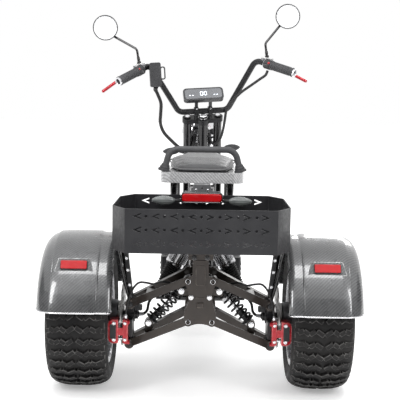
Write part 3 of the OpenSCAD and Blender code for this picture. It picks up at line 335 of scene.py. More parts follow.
RIM_ALLOY = Finish("rim_alloy_metal", "rim_alloy", (0.6, 0.6, 0.61), (0.52, 0.52, 0.54),
                   (0.22, 0.34), 1.0, 0.1, grain=260, depth=0.00001, edge_wear_and_highlight=(0.8, 0.8, 0.8))
DISC_STEEL = Finish("disc_steel_metal", "disc_steel", (0.5, 0.49, 0.48), (0.36, 0.35, 0.34),
                    (0.24, 0.4), 1.0, 0.0, stretch=(4, 1, 1), grain=400, depth=0.00001)
CHROME = Finish("chrome_plate", "chrome_shell", (0.86, 0.86, 0.87), (0.74, 0.74, 0.76),
                (0.03, 0.09), 1.0, 0.0, grain=80, depth=0.00003)
# near white with little metal: a painted reflection of the white surroundings
MIRROR = Finish("mirror_glass", "chrome_shell", (0.93, 0.94, 0.95), (0.9, 0.91, 0.92),
                (0.01, 0.03), 0.2, 0.3, grain=20, depth=0.00001)
BLACK_PLASTIC = Finish("black_moulded_plastic", "black_plastic", (0.03, 0.03, 0.032), (0.05, 0.05, 0.053),
                       (0.42, 0.6), grain=1800, depth=0.00016, edge_wear_and_highlight=(0.14, 0.14, 0.14))
GLOSS_PLASTIC = Finish("gloss_black_plastic_case", "gloss_black_plastic", (0.02, 0.021, 0.023),
                       (0.035, 0.036, 0.04), (0.16, 0.26), 0.0, 0.5, grain=400, depth=0.00004)
SCREEN = Finish("screen_glass", "gloss_black_plastic", (0.14, 0.145, 0.155), (0.18, 0.185, 0.195),
                (0.06, 0.12), 0.0, 1.0, grain=60, depth=0.00001)
RUBBER = Finish("black_rubber_sleeve", "black_rubber", (0.018, 0.018, 0.019), (0.032, 0.031, 0.031),
                (0.5, 0.7), grain=1500, depth=0.00012)
GRIP = Finish("grip_rubber_compound", "grip_rubber", (0.05, 0.051, 0.054), (0.075, 0.075, 0.078),
              (0.5, 0.66), grain=2200, depth=0.00014, edge_wear_and_highlight=(0.16, 0.16, 0.165))
# its lighter tread block edges are a painted highlight
TYRE = Finish("tyre_compound", "tyre_rubber", (0.008, 0.008, 0.0085), (0.018, 0.017, 0.0165),
              (0.45, 0.66), spots=9, grain=1100, depth=0.0002, edge_wear_and_highlight=(0.11, 0.107, 0.104), shine=0.16)
SEAT_LEATHER = LeatherFinish("seat_leather", "seat_cover", (0.05, 0.05, 0.052), (0.075, 0.075, 0.078),
                             (0.36, 0.5), grain=620, depth=0.00025)
THREAD = Finish("seat_thread", "seat_cover", (0.11, 0.11, 0.115), (0.15, 0.15, 0.15), (0.6, 0.75), grain=3000)
RED_LENS = LensFinish("red_lamp_glass", "red_lens", (0.72, 0.008, 0.012), (0.5, 0.004, 0.008),
                      (0.08, 0.16), 0.0, 0.8, depth=0.0006, clear=0.25, glow=0.06)
# its faint glow is a painted glint, as a reflector is no lamp
REFLECTOR = LensFinish("red_reflector_prisms", "red_lens", (0.5, 0.004, 0.008), (0.36, 0.002, 0.005),
                       (0.14, 0.24), 0.0, 0.8, depth=0.0005, clear=0.05, glow=0.04, flutes=420)
CLEAR_LENS = LensFinish("smoked_signal_glass", "clear_lens", (0.26, 0.28, 0.275), (0.16, 0.17, 0.17),
                        (0.08, 0.18), 0.0, 0.8, depth=0.0012, clear=0.35, flutes=190)
HEAD_LENS = LensFinish("headlamp_glass", "clear_lens", (0.9, 0.92, 0.94), (0.84, 0.86, 0.9),
                       (0.03, 0.08), 0.0, 0.8, depth=0.0008, clear=0.9, flutes=90)
AMBER_LENS = LensFinish("amber_window", "clear_lens", (0.8, 0.3, 0.03), (0.6, 0.2, 0.02),
                        (0.1, 0.2), 0.0, 0.6, depth=0.0002, clear=0.2)
WHITE_LID = Finish("white_moulded_lid", "black_plastic", (0.7, 0.7, 0.69), (0.78, 0.78, 0.77),
                   (0.3, 0.42), grain=900, depth=0.0001)
DIGITS = LensFinish("lit_digits", "clear_lens", (0.85, 0.92, 1.0), (0.8, 0.9, 1.0), (0.3, 0.4),
                    depth=0.00001, clear=0.0, glow=1.6)
# its pale edge colour is a painted highlight along the fenders' rounded edges
FENDER_CARBON = CarbonFinish("fender_carbon", "carbon_gloss", (0.2, 0.203, 0.208), (0.12, 0.122, 0.125),
                             (0.24, 0.36), 0.45, 1.0, depth=0.0002, edge_wear_and_highlight=(0.6, 0.6, 0.6))
COWL_CARBON = CarbonFinish("cowl_carbon", "carbon_gloss", (0.82, 0.82, 0.83), (0.64, 0.64, 0.65),
                           (0.22, 0.34), 0.4, 1.0, depth=0.0002, edge_wear_and_highlight=(0.75, 0.75, 0.75))
MUDGUARD_CARBON = CarbonFinish("mudguard_carbon", "carbon_gloss", (0.16, 0.16, 0.165), (0.1, 0.1, 0.105),
                               (0.22, 0.34), 0.4, 1.0, depth=0.0002)


# ---------- shapes ----------


def unit_to(direction: Vector, at: Point) -> Matrix:
    """Lay the z axis along a direction, from a point in metres."""
    return Matrix.Translation(at) @ Vector(direction).to_track_quat("Z", "Y").to_matrix().to_4x4()


def turn(angle: float, axis: str) -> Matrix:
    """Rotate by an angle in degrees about a named axis."""
    return Matrix.Rotation(math.radians(angle), 4, axis)


def shift(x: float = 0, y: float = 0, z: float = 0) -> Matrix:
    """Move by millimetres."""
    return Matrix.Translation(Vector((x, y, z)) * MM)


# Turns that lay z towards the vehicle's back and front
BACK = turn(90, "X")
AHEAD = turn(-90, "X")


def chain(*places: Matrix) -> Matrix:
    """Multiply matrices, so that the last one acts first."""
    whole = Matrix()
    for place in places:
        whole = whole @ place
    return whole


def flip(sign: int) -> Matrix:
    """Mirror x where sign is -1."""
    return Matrix.Diagonal((sign, 1, 1, 1))


def spokes(count: int, *places: Matrix) -> list[Matrix]:
    """Repeat a place evenly about z."""
    return [chain(turn(360 * k / count, "Z"), *places) for k in range(count)]


def mirrored_back(profile: Sequence[Pair]) -> list[Pair]:
    """Give a profile's mirror image across z = 0, last point first."""
    return [(r, -h) for r, h in reversed(profile)]


def scaled(profile: Iterable[Pair], radial: float, axial: float) -> list[Pair]:
    """Scale a profile's radii and heights."""
    return [(r * radial, h * axial) for r, h in profile]


def circle(radius: float, count: int, x: float = 0, y: float = 0) -> list[Pair]:
    """Give the outline of a circle about a point."""
    return [(x + radius * math.cos(a), y + radius * math.sin(a))
            for a in (FULL_TURN * k / count for k in range(count))]


def filleted(points: Sequence[Point], radius: float, steps: int = 9) -> list[Vector]:
    """Round off the corners of a line; radius is in the points' own unit."""
    line = [Vector(points[0])]
    for before, corner, after in zip(points, points[1:], points[2:]):
        here = Vector(corner)
        back, ahead = (Vector(before) - here).normalized(), (Vector(after) - here).normalized()
        half = back.angle(ahead) / 2
        centre = here + (back + ahead).normalized() * radius / math.sin(half)
        start = here + back * radius / math.tan(half) - centre
        turn_axis = start.cross(-back)
        sweep = math.pi - 2 * half
        line += [centre + Matrix.Rotation(sweep * k / steps, 3, turn_axis) @ start for k in range(steps + 1)]
    return line + [Vector(points[-1])]


def flowing(points: Sequence[Point], steps: int = 6) -> list[Vector]:
    """Run a smooth curve through points, with steps points on each stretch."""
    knots = [Vector(p) for p in points]
    knots = [2 * knots[0] - knots[1], *knots, 2 * knots[-1] - knots[-2]]
    line = []
    for a, b, c, d in zip(knots, knots[1:], knots[2:], knots[3:]):
        for k in range(steps):
            t = k / steps
            line.append(0.5 * (2 * b + (c - a) * t + (2 * a - 5 * b + 4 * c - d) * t * t
                               + (3 * b - a - 3 * c + d) * t ** 3))
    return line + [knots[-2]]


def coiled(line: Sequence[Vector], radius: float, pitch: float, steps: int = 12) -> list[Vector]:
    """Wind a spiral round a line; all lengths are metres."""
    points, lead, side = [], 0.0, Vector((1, 0, 0))
    for start, end in zip(line, line[1:]):
        length = (end - start).length
        along = (end - start) / length
        side = (side - along * side.dot(along)).normalized()
        other = along.cross(side)
        count = max(1, round(length * steps / pitch))
        for k in range(count):
            angle = FULL_TURN * (lead + length * k / count) / pitch
            reach = side * math.cos(angle) + other * math.sin(angle)
            points.append(start.lerp(end, k / count) + reach * radius)
        lead += length
    return points


def rounded_outline(width: float, height: float, radius: float, steps: int = 6) -> list[Pair]:
    """Give the outline of a rounded rectangle, centred."""
    outline = []
    for corner, (sx, sy) in enumerate(((1, 1), (-1, 1), (-1, -1), (1, -1))):
        for k in range(steps + 1):
            angle = math.radians(90 * (corner + k / steps))
            outline.append((
                sx * (width / 2 - radius) + radius * math.cos(angle),
                sy * (height / 2 - radius) + radius * math.sin(angle),
            ))
    return outline


class Shape:
    """A mesh in metres while it is being shaped."""

    def __init__(self) -> None:
        """Start with an empty mesh that can record its rounded edges, for wear and for painted highlights."""
        self.bm = bmesh.new()
        self.edge_wear_and_highlight_mask = self.bm.loops.layers.float.new("edge_wear_and_highlight_mask")

    @classmethod
    def read(cls, mesh: bpy.types.Mesh, weld: float) -> Shape:
        """Copy a mesh and merge its points that are closer than weld."""
        shape = cls()
        shape.bm.from_mesh(mesh)
        layers = shape.bm.loops.layers.float
        shape.edge_wear_and_highlight_mask = layers.get("edge_wear_and_highlight_mask") or layers.new("edge_wear_and_highlight_mask")
        bmesh.ops.remove_doubles(shape.bm, verts=shape.bm.verts, dist=weld)
        return shape

    def release(self, name: str = "part") -> bpy.types.Mesh:
        """Give the shape as a mesh and free its own."""
        mesh = bpy.data.meshes.new(name)
        self.bm.to_mesh(mesh)
        self.bm.free()
        return mesh

    @classmethod
    def turned(cls, profile: Iterable[Point], steps: int = 64, closed: bool = False) -> Shape:
        """Turn a profile of radii and heights about the z axis."""
        shape = cls()
        verts = [shape.bm.verts.new((r * MM, 0, h * MM)) for r, h in profile]
        pairs = list(zip(verts, verts[1:])) + ([(verts[-1], verts[0])] if closed else [])
        edges = [shape.bm.edges.new(pair) for pair in pairs]
        bmesh.ops.spin(shape.bm, geom=verts + edges, cent=(0, 0, 0), axis=(0, 0, 1),
                       angle=FULL_TURN, steps=steps, use_merge=True)
        bmesh.ops.remove_doubles(shape.bm, verts=shape.bm.verts, dist=WELD)
        return shape

    @classmethod
    def block(cls, size: Point, bevel: float = 0.0, segments: int = 2) -> Shape:
        """Make a centred block with rounded edges."""
        shape = cls()
        bmesh.ops.create_cube(shape.bm, size=1, matrix=Matrix.Diagonal((*(Vector(size) * MM), 1)))
        return shape.soften(bevel, segments) if bevel else shape

    @classmethod
    def drum(cls, radius: float, length: float, bevel: float = 0.0, steps: int = 32,
             end: Optional[float] = None) -> Shape:
        """Make a cylinder, or a cone to radius end, that stands on the origin along z."""
        shape = cls()
        bmesh.ops.create_cone(
            shape.bm, cap_ends=True, segments=steps, radius1=radius * MM,
            radius2=(radius if end is None else end) * MM, depth=length * MM,
            matrix=Matrix.Translation((0, 0, length * MM / 2)),
        )
        return shape.soften(bevel, 2, 40) if bevel else shape

    @classmethod
    def slab(cls, outline: Iterable[Point], thickness: float, bevel: float = 0.0,
             taper: float = 1.0) -> Shape:
        """Extrude a flat outline along z, its far face scaled by taper."""
        shape = cls()
        face = shape.bm.faces.new([shape.bm.verts.new((x * MM, y * MM, 0)) for x, y in outline])
        grown = bmesh.ops.extrude_face_region(shape.bm, geom=[face])["geom"]
        top = [v for v in grown if isinstance(v, bmesh.types.BMVert)]
        bmesh.ops.scale(shape.bm, vec=(taper, taper, 1), verts=top)
        bmesh.ops.translate(shape.bm, vec=(0, 0, thickness * MM), verts=top)
        return shape.soften(bevel, 3, 40) if bevel else shape

    @classmethod
    def sheet_cut(cls, outer: Iterable[Point], holes: Iterable[Iterable[Point]], thickness: float,
                  bevel: float = 0.3) -> Shape:
        """Cut a flat plate with holes, centred on z = 0."""
        curve = bpy.data.curves.new("cut", "CURVE")
        curve.dimensions = "2D"
        curve.fill_mode = "BOTH"
        curve.extrude = (thickness / 2 - bevel) * MM
        curve.bevel_depth = bevel * MM
        curve.bevel_resolution = 1
        curve.offset = -bevel * MM
        for loop in (outer, *holes):
            points = list(loop)
            spline = curve.splines.new("POLY")
            spline.points.add(len(points) - 1)
            spline.use_cyclic_u = True
            for place, (x, y) in zip(spline.points, points):
                place.co = (x * MM, y * MM, 0, 1)
        return cls.from_curve(curve)

    @classmethod
    def hose(cls, points: Iterable[Point], radius: float, radii: Optional[Sequence[float]] = None,
             sides: int = 3) -> Shape:
        """Run a round hose along a line in metres; radii are shares of its radius at each point."""
        curve = bpy.data.curves.new("run", "CURVE")
        curve.dimensions = "3D"
        curve.bevel_depth = radius * MM
        curve.bevel_resolution = sides
        curve.use_fill_caps = True
        line = list(points)
        spline = curve.splines.new("POLY")
        spline.points.add(len(line) - 1)
        for index, place in enumerate(spline.points):
            place.co = (*line[index], 1)
            place.radius = radii[index] if radii else 1.0
        return cls.from_curve(curve)

    @classmethod
    def from_curve(cls, curve: bpy.types.Curve) -> Shape:
        """Turn a curve into a mesh and remove it."""
        holder = bpy.data.objects.new(curve.name, curve)
        bpy.context.scene.collection.objects.link(holder)
        ready = holder.evaluated_get(bpy.context.evaluated_depsgraph_get())
        mesh = bpy.data.meshes.new_from_object(ready)
        shape = cls.read(mesh, CURVE_WELD)
        bpy.data.objects.remove(holder)
        bpy.data.curves.remove(curve)
        bpy.data.meshes.remove(mesh)
        return shape

    @classmethod
    def cad(cls, node: str, bevel: float = 0.0, segments: int = 2, angle: float = CAD_ANGLE) -> Shape:
        """Copy a CAD node and round its edges that are sharper than angle."""
        shape = cls.read(bpy.data.objects[node].data, CAD_WELD)
        bmesh.ops.dissolve_limit(shape.bm, angle_limit=math.radians(0.8),
                                 verts=shape.bm.verts, edges=shape.bm.edges)
        return shape.soften(bevel, segments, angle) if bevel else shape

    def soften(self, width: float, segments: int = 2, angle: float = 30.0) -> Shape:
        """Round the edges that are sharper than angle and mark them to be lightened, as wear and on some
        finishes as a painted highlight.
        """
        sharp = [
            e for e in self.bm.edges
            if len(e.link_faces) == 2 and e.calc_face_angle(0) > math.radians(angle)
        ]
        made = bmesh.ops.bevel(self.bm, geom=sharp, offset=width * MM, segments=segments, profile=0.5,
                               affect="EDGES", clamp_overlap=True, material=-1)
        for face in made["faces"]:
            for loop in face.loops:
                loop[self.edge_wear_and_highlight_mask] = 1.0
        return self

    def at(self, *places: Matrix) -> Shape:
        """Move the shape by matrices, the last one first."""
        bmesh.ops.transform(self.bm, matrix=chain(*places), verts=self.bm.verts)
        return self

    def add(self, *others: Shape) -> Shape:
        """Take in other shapes, which are used up."""
        for other in others:
            mesh = other.release()
            self.bm.from_mesh(mesh)
            bpy.data.meshes.remove(mesh)
        return self

    def copies(self, places: Iterable[Matrix]) -> Shape:
        """Repeat the shape at each place, as a new shape."""
        mesh, whole = self.release(), Shape()
        for place in places:
            moved = mesh.copy()
            moved.transform(place)
            whole.bm.from_mesh(moved)
            bpy.data.meshes.remove(moved)
        bpy.data.meshes.remove(mesh)
        return whole

    def piece(self, name: str, body: Body, finish: Finish, smooth: float,
              replaces: Sequence[str]) -> bpy.types.Object:
        """Finish the shape as a piece that moves with a body; edges sharper than smooth stay crisp."""
        bmesh.ops.recalc_face_normals(self.bm, faces=self.bm.faces)
        mesh = self.release(name)
        mesh.shade_smooth()
        mesh.set_sharp_from_angle(angle=math.radians(smooth))
        mesh.materials.append(finish.material())
        made = bpy.data.objects.new(name, mesh)
        made.modifiers.new("even_shading", "WEIGHTED_NORMAL").keep_sharp = True
        bpy.context.scene.collection.objects.link(made)
        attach(made, body.value)
        if replaces:
            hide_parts(*replaces)
        LOG.info("%s: %d faces on %s", name, len(mesh.polygons), body.value)
        return made


def bolt_head(radius: float, height: float, socket: float) -> Shape:
    """Make a round cap screw's head with its socket and washer, standing on z = 0."""
    washer = Shape.drum(radius * 1.2, height * 0.2, height * 0.06, 32)
    head = [(0, 0.2 * height), (radius, 0.2 * height), (radius, height * 0.82), (radius * 0.84, height),
            (socket, height)]
    well = [(socket, height), (socket * 0.92, height * 0.5), (0, height * 0.45)]
    return washer.add(Shape.turned(head, 24), Shape.turned(well, 24))


def hex_nut(radius: float, height: float) -> Shape:
    """Make a hexagon nut with its washer and stud end, standing on z = 0."""
    washer = Shape.drum(radius * 1.15, height * 0.18, height * 0.05, 28)
    nut = Shape.drum(radius, height * 0.82, height * 0.1, 6).at(shift(z=height * 0.18))
    stud = Shape.drum(radius * 0.52, height * 1.3, height * 0.08, 20)
    return washer.add(nut, stud)


def collar(bore: float, radius: float, half: float, steps: int) -> Shape:
    """Turn a ring with broken outer edges, half its length each way from z = 0."""
    side = [(bore, -half), (radius - 1, -half), (radius, 1 - half)]
    return Shape.turned([*side, *mirrored_back(side)], steps, closed=True)


class Layout:
    """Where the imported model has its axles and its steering."""

    def __init__(self, frame: dict[str, object]) -> None:
        """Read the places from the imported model."""
        low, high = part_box("rear_tyre_left")
        self.rear_y = (low.y + high.y) / 2
        self.axle_z = (low.z + high.z) / 2
        joints = {joint["name"]: joint for joint in frame["joints"]}
        self.steer_axis = Vector(joints["steer"]["axis"]).normalized()
        self.steer_top = Vector(joints["steer"]["pos_m"])
        self.front_axle = Vector(joints["front_spin"]["pos_m"])
        across = Vector(joints["front_spin"]["axis"]).normalized()
        self.fork = self.basis(across, self.steer_axis, self.steer_top)
        ahead = self.basis(Vector((1, 0, 0)), self.steer_axis, self.steer_top)
        self.steered = self.fork @ ahead.inverted()

    @staticmethod
    def basis(x: Vector, z: Vector, origin: Vector) -> Matrix:
        """Make a matrix from its x and z directions."""
        y = z.cross(x).normalized()
        return Matrix.Translation(origin) @ Matrix((y.cross(z), y, z)).transposed().to_4x4()

    def spot(self, x: float, y: float, z: float) -> Vector:
        """Give a place in metres from millimetres, y counted from the rear axle."""
        return Vector((x * MM, y * MM + self.rear_y, z * MM))

    def put(self, x: float, y: float, z: float) -> Matrix:
        """Move the origin to a place in millimetres, y counted from the rear axle."""
        return Matrix.Translation(self.spot(x, y, z))

    def steer(self, x: float, y: float, z: float) -> Vector:
        """Give a place that is drawn straight ahead at the parked steering angle."""
        return self.steered @ self.spot(x, y, z)


@dataclass
class Assembly:
    """A group of pieces that rides on one body, drawn in the layout's frame."""

    layout: Layout
    body = Body.CHASSIS

    def show(self, shape: Shape, name: str, finish: Finish, smooth: float, *nodes: str) -> None:
        """Finish a shape as a piece that stands for CAD nodes; edges sharper than smooth stay crisp."""
        shape.piece(name, self.body, finish, smooth, nodes)

    def rounded(self, node: str, name: str, finish: Finish, bevel: float, smooth: float = CAST,
                segments: int = 2, angle: float = CAD_ANGLE) -> None:
        """Show a CAD node's own shape with its sharp edges rounded."""
        self.show(Shape.cad(node, bevel, segments, angle), name, finish, smooth, node)

    def pair(self, x: float, y: float, z: float, *turns: Matrix) -> list[Matrix]:
        """Give a place on both sides of the vehicle, in millimetres, with turns applied there."""
        return [chain(self.layout.put(s * x, y, z), *turns) for s in SIDES]

    def outward(self, x: float, y: float, z: float, *turns: Matrix) -> list[Matrix]:
        """Give a place on both sides whose z axis points outboard, with turns applied there."""
        return [chain(self.layout.put(s * x, y, z), turn(90 * s, "Y"), *turns) for s in SIDES]

    def line(self, points: Iterable[Point], sign: int = 1) -> list[Vector]:
        """Give points in metres from millimetres, with x on the side of sign."""
        return [self.layout.spot(sign * x, y, z) for x, y, z in points]


# ---------- wheels ----------


@dataclass
class Tyre:
    """A tyre's carcass and tread blocks, turned about z."""

    radius: float
    width: float
    bead: float
    power: float
    tread: float
    bead_rise: float = 16

    def crown(self, angle: float, sink: float = 0.0) -> Pair:
        """Give the distance from the axle and across at an angle of 0 to 180 degrees over the crown."""
        low = self.bead + self.bead_rise
        wide = low + (self.radius - low) * 0.3
        rise, cross = math.sin(math.radians(angle)), math.cos(math.radians(angle))
        return (
            wide + (self.radius - sink - wide) * max(rise, 0.0) ** self.power,
            -math.copysign(self.width / 2 * abs(cross) ** self.power, cross),
        )

    def carcass(self) -> Shape:
        """Turn the carcass with its sidewall ribs and beads."""
        half, low, b = self.width * RIM_SHARE, self.bead + self.bead_rise, self.bead
        outer = [
            self.crown(a, self.tread * min(1.0, 1.3 * math.sin(math.radians(a)) ** 2))
            for a in range(5, 176, 5)
        ]
        left = [(b, -half + 5), (b + 1, -half), (low, -half), (low + 3, -half - 2),
                (low + 5, -half - 5), (low + 8, -half - 5.5)]
        return Shape.turned([*left, *outer, *mirrored_back(left)], 96, closed=True)

    def lug(self, size: Point, across: float, slant: float, lead: float, bevel: float = 2.0) -> Shape:
        """Lay a tread block on the crown, across and lead in millimetres over and round the tyre."""
        share = abs(2 * across / self.width) ** (1 / self.power)
        angle = 90 + math.copysign(math.degrees(math.asin(share)), across)
        (r0, h0), (r, h), (r1, h1) = (self.crown(angle + step) for step in (-3, 0, 3))
        along = Vector((r1 - r0, 0, h1 - h0)).normalized()
        place = Layout.basis(along, Vector((along.z, 0, -along.x)), Vector((r, 0, h)) * MM)
        return Shape.block(size, bevel, 1).at(
            turn(math.degrees(lead / self.radius), "Z"), place, turn(slant, "Z"), shift(z=-size[2] / 2))

    def around(self, row: Shape, count: int) -> Shape:
        """Repeat a row of blocks round the tyre."""
        return row.copies(spokes(count))


@dataclass
class RearWheel(Assembly):
    """A wide rear wheel: blocky tyre, machined rim with its motor, and a drilled disc."""

    side: Side
    radius: float = 238
    width: float = 200
    bead: float = 152
    middle: float = 391
    disc_x: float = 258
    disc_radius: float = 105
    rows: int = 18

    def __post_init__(self) -> None:
        """Work out the wheel's body, name and place."""
        self.word, sign = self.side.name.lower(), self.side.value
        self.body = Body(f"rear_wheel_{self.word}")
        self.place = self.layout.put(sign * self.middle, 0, self.radius) @ Layout.basis(
            Vector((0, -1, 0)), Vector((sign, 0, 0)), Vector())

    def build(self) -> None:
        """Build the wheel's pieces."""
        self.tyre()
        self.rim()
        self.disc()

    def mount(self, shape: Shape, name: str, finish: Finish, smooth: float = MACHINED,
              node: str = "") -> None:
        """Show a shape that is drawn about z, with the side's word on its names."""
        nodes = [f"{node}_{self.word}"] if node else []
        self.show(shape.at(self.place), f"{name}_{self.word}", finish, smooth, *nodes)

    def tyre(self) -> None:
        """Build the tyre with chevrons at its middle, vees beside them and lugs on its shoulders."""
        tyre = Tyre(self.radius, self.width, self.bead, 0.72, 10)
        pitch = FULL_TURN * self.radius / self.rows
        row = Shape()
        for step, (gap, grow) in enumerate(((1.2, 1.0), (5.0, 0.94))):
            lugs = (
                ((28 * grow, 15, 14), 12 + gap, 35, 0),
                ((22, 15, 14), 38, -36, -1),
                ((22, 15, 14), 56.5, 34, -1),
                ((21, 17, 14), 74, -24 + 8 * step, -3),
                ((17, 16, 12), 88, 14 - 20 * step, -8 + 7 * step),
                ((15, 20, 8), 95.5, 0, 12),
            )
            row.add(*(tyre.lug(size, s * across, s * slant, pitch * step / 2 + lead)
                      for s in SIDES for size, across, slant, lead in lugs))
        self.mount(tyre.carcass().add(tyre.around(row, self.rows)), "tyre", TYRE, 34, "rear_tyre")

    def rim(self) -> None:
        """Build the rim's barrel, spokes, motor housing and its bolts."""
        half, b = self.width * RIM_SHARE, self.bead
        front = [(b - 9, -half - 2), (b - 6, -half - 6), (b + 9, -half - 6), (b + 12, -half - 4),
                 (b + 11.5, -half - 1), (b + 2, -half - 0.6), (b - 1, -half + 3), (b - 1, -half + 14),
                 (b - 6, -half + 24)]
        inner = [(b - 10, half - 14), (b - 12, 30), (b - 12, -30), (b - 10, -half + 14)]
        barrel = Shape.turned([*front, (b - 6, 0), *mirrored_back(front), *inner], 96, closed=True)
        spoke = Shape.slab([(-15, 93), (15, 93), (11, 118), (12, 146), (-12, 146), (-11, 118)], 26, 2.4)
        groove = Shape.slab([(-6, 97), (6, 97), (4, 118), (5, 138), (-5, 138), (-4, 118)], 2.2, 0.8)
        spoke.add(groove.at(shift(z=25)))
        barrel.add(spoke.at(shift(z=-4)).copies(spokes(8)))
        hub = [(10.05, -118), (34, -118), (46, -116), (48, -112), (48, -90), (52, -86), (88, -84),
               (98, -80), (100, -76), (100, -40), (97, -38), (97, -34), (100, -32), (100, 10), (97, 12),
               (97, 16), (100, 18), (96, 27), (88, 30), (60, 30), (56, 27), (40, 27), (37, 30), (24, 30),
               (21, 27), (10.05, 27)]
        caps = bolt_head(5.5, 6, 3).copies(spokes(6, shift(78, 0, 30)))
        caps.add(bolt_head(4.5, 5, 2.4).copies(
            spokes(8, turn(10, "Z"), shift(72, 0, -85), turn(180, "X"))))
        valve = Shape.drum(4, 26, 1, 14, 3).at(turn(22, "Z"), shift(b - 10, 0, half - 26), turn(-35, "Y"))
        self.mount(barrel, "rim", RIM_ALLOY, node="rear_rim")
        self.mount(Shape.turned(hub, 96, closed=True), "motor", GREY_METAL)
        self.mount(caps, "rim_bolts", POLISHED)
        self.mount(valve, "valve", RUBBER)

    def disc(self) -> None:
        """Build the slotted and drilled brake disc with its carrier."""
        holes = [
            circle(hole, 10, radius * math.cos(a), radius * math.sin(a))
            for radius, count, hole, phase in (
                (96, 20, 3.4, 0), (86, 20, 3.4, 0.5), (76, 20, 3.4, 0), (58, 8, 7.5, 0.5))
            for a in (FULL_TURN * (k + phase) / count for k in range(count))
        ]
        depth = self.disc_x - self.middle
        plate = Shape.sheet_cut(circle(self.disc_radius, 96), [circle(30, 48), *holes], 4).at(shift(z=depth))
        carrier = [(30, depth + 2), (44, depth + 2), (45, depth + 4), (45, -118.4), (30, -118.4)]
        plate.add(Shape.turned(carrier, 64, closed=True))
        self.mount(plate, "disc", DISC_STEEL, node="rear_disc")
        screws = bolt_head(4.6, 4, 2.4).copies(spokes(6, shift(38, 0, depth - 2), turn(180, "X")))
        self.mount(screws, "disc_screws", POLISHED)


# ---------- rear suspension ----------


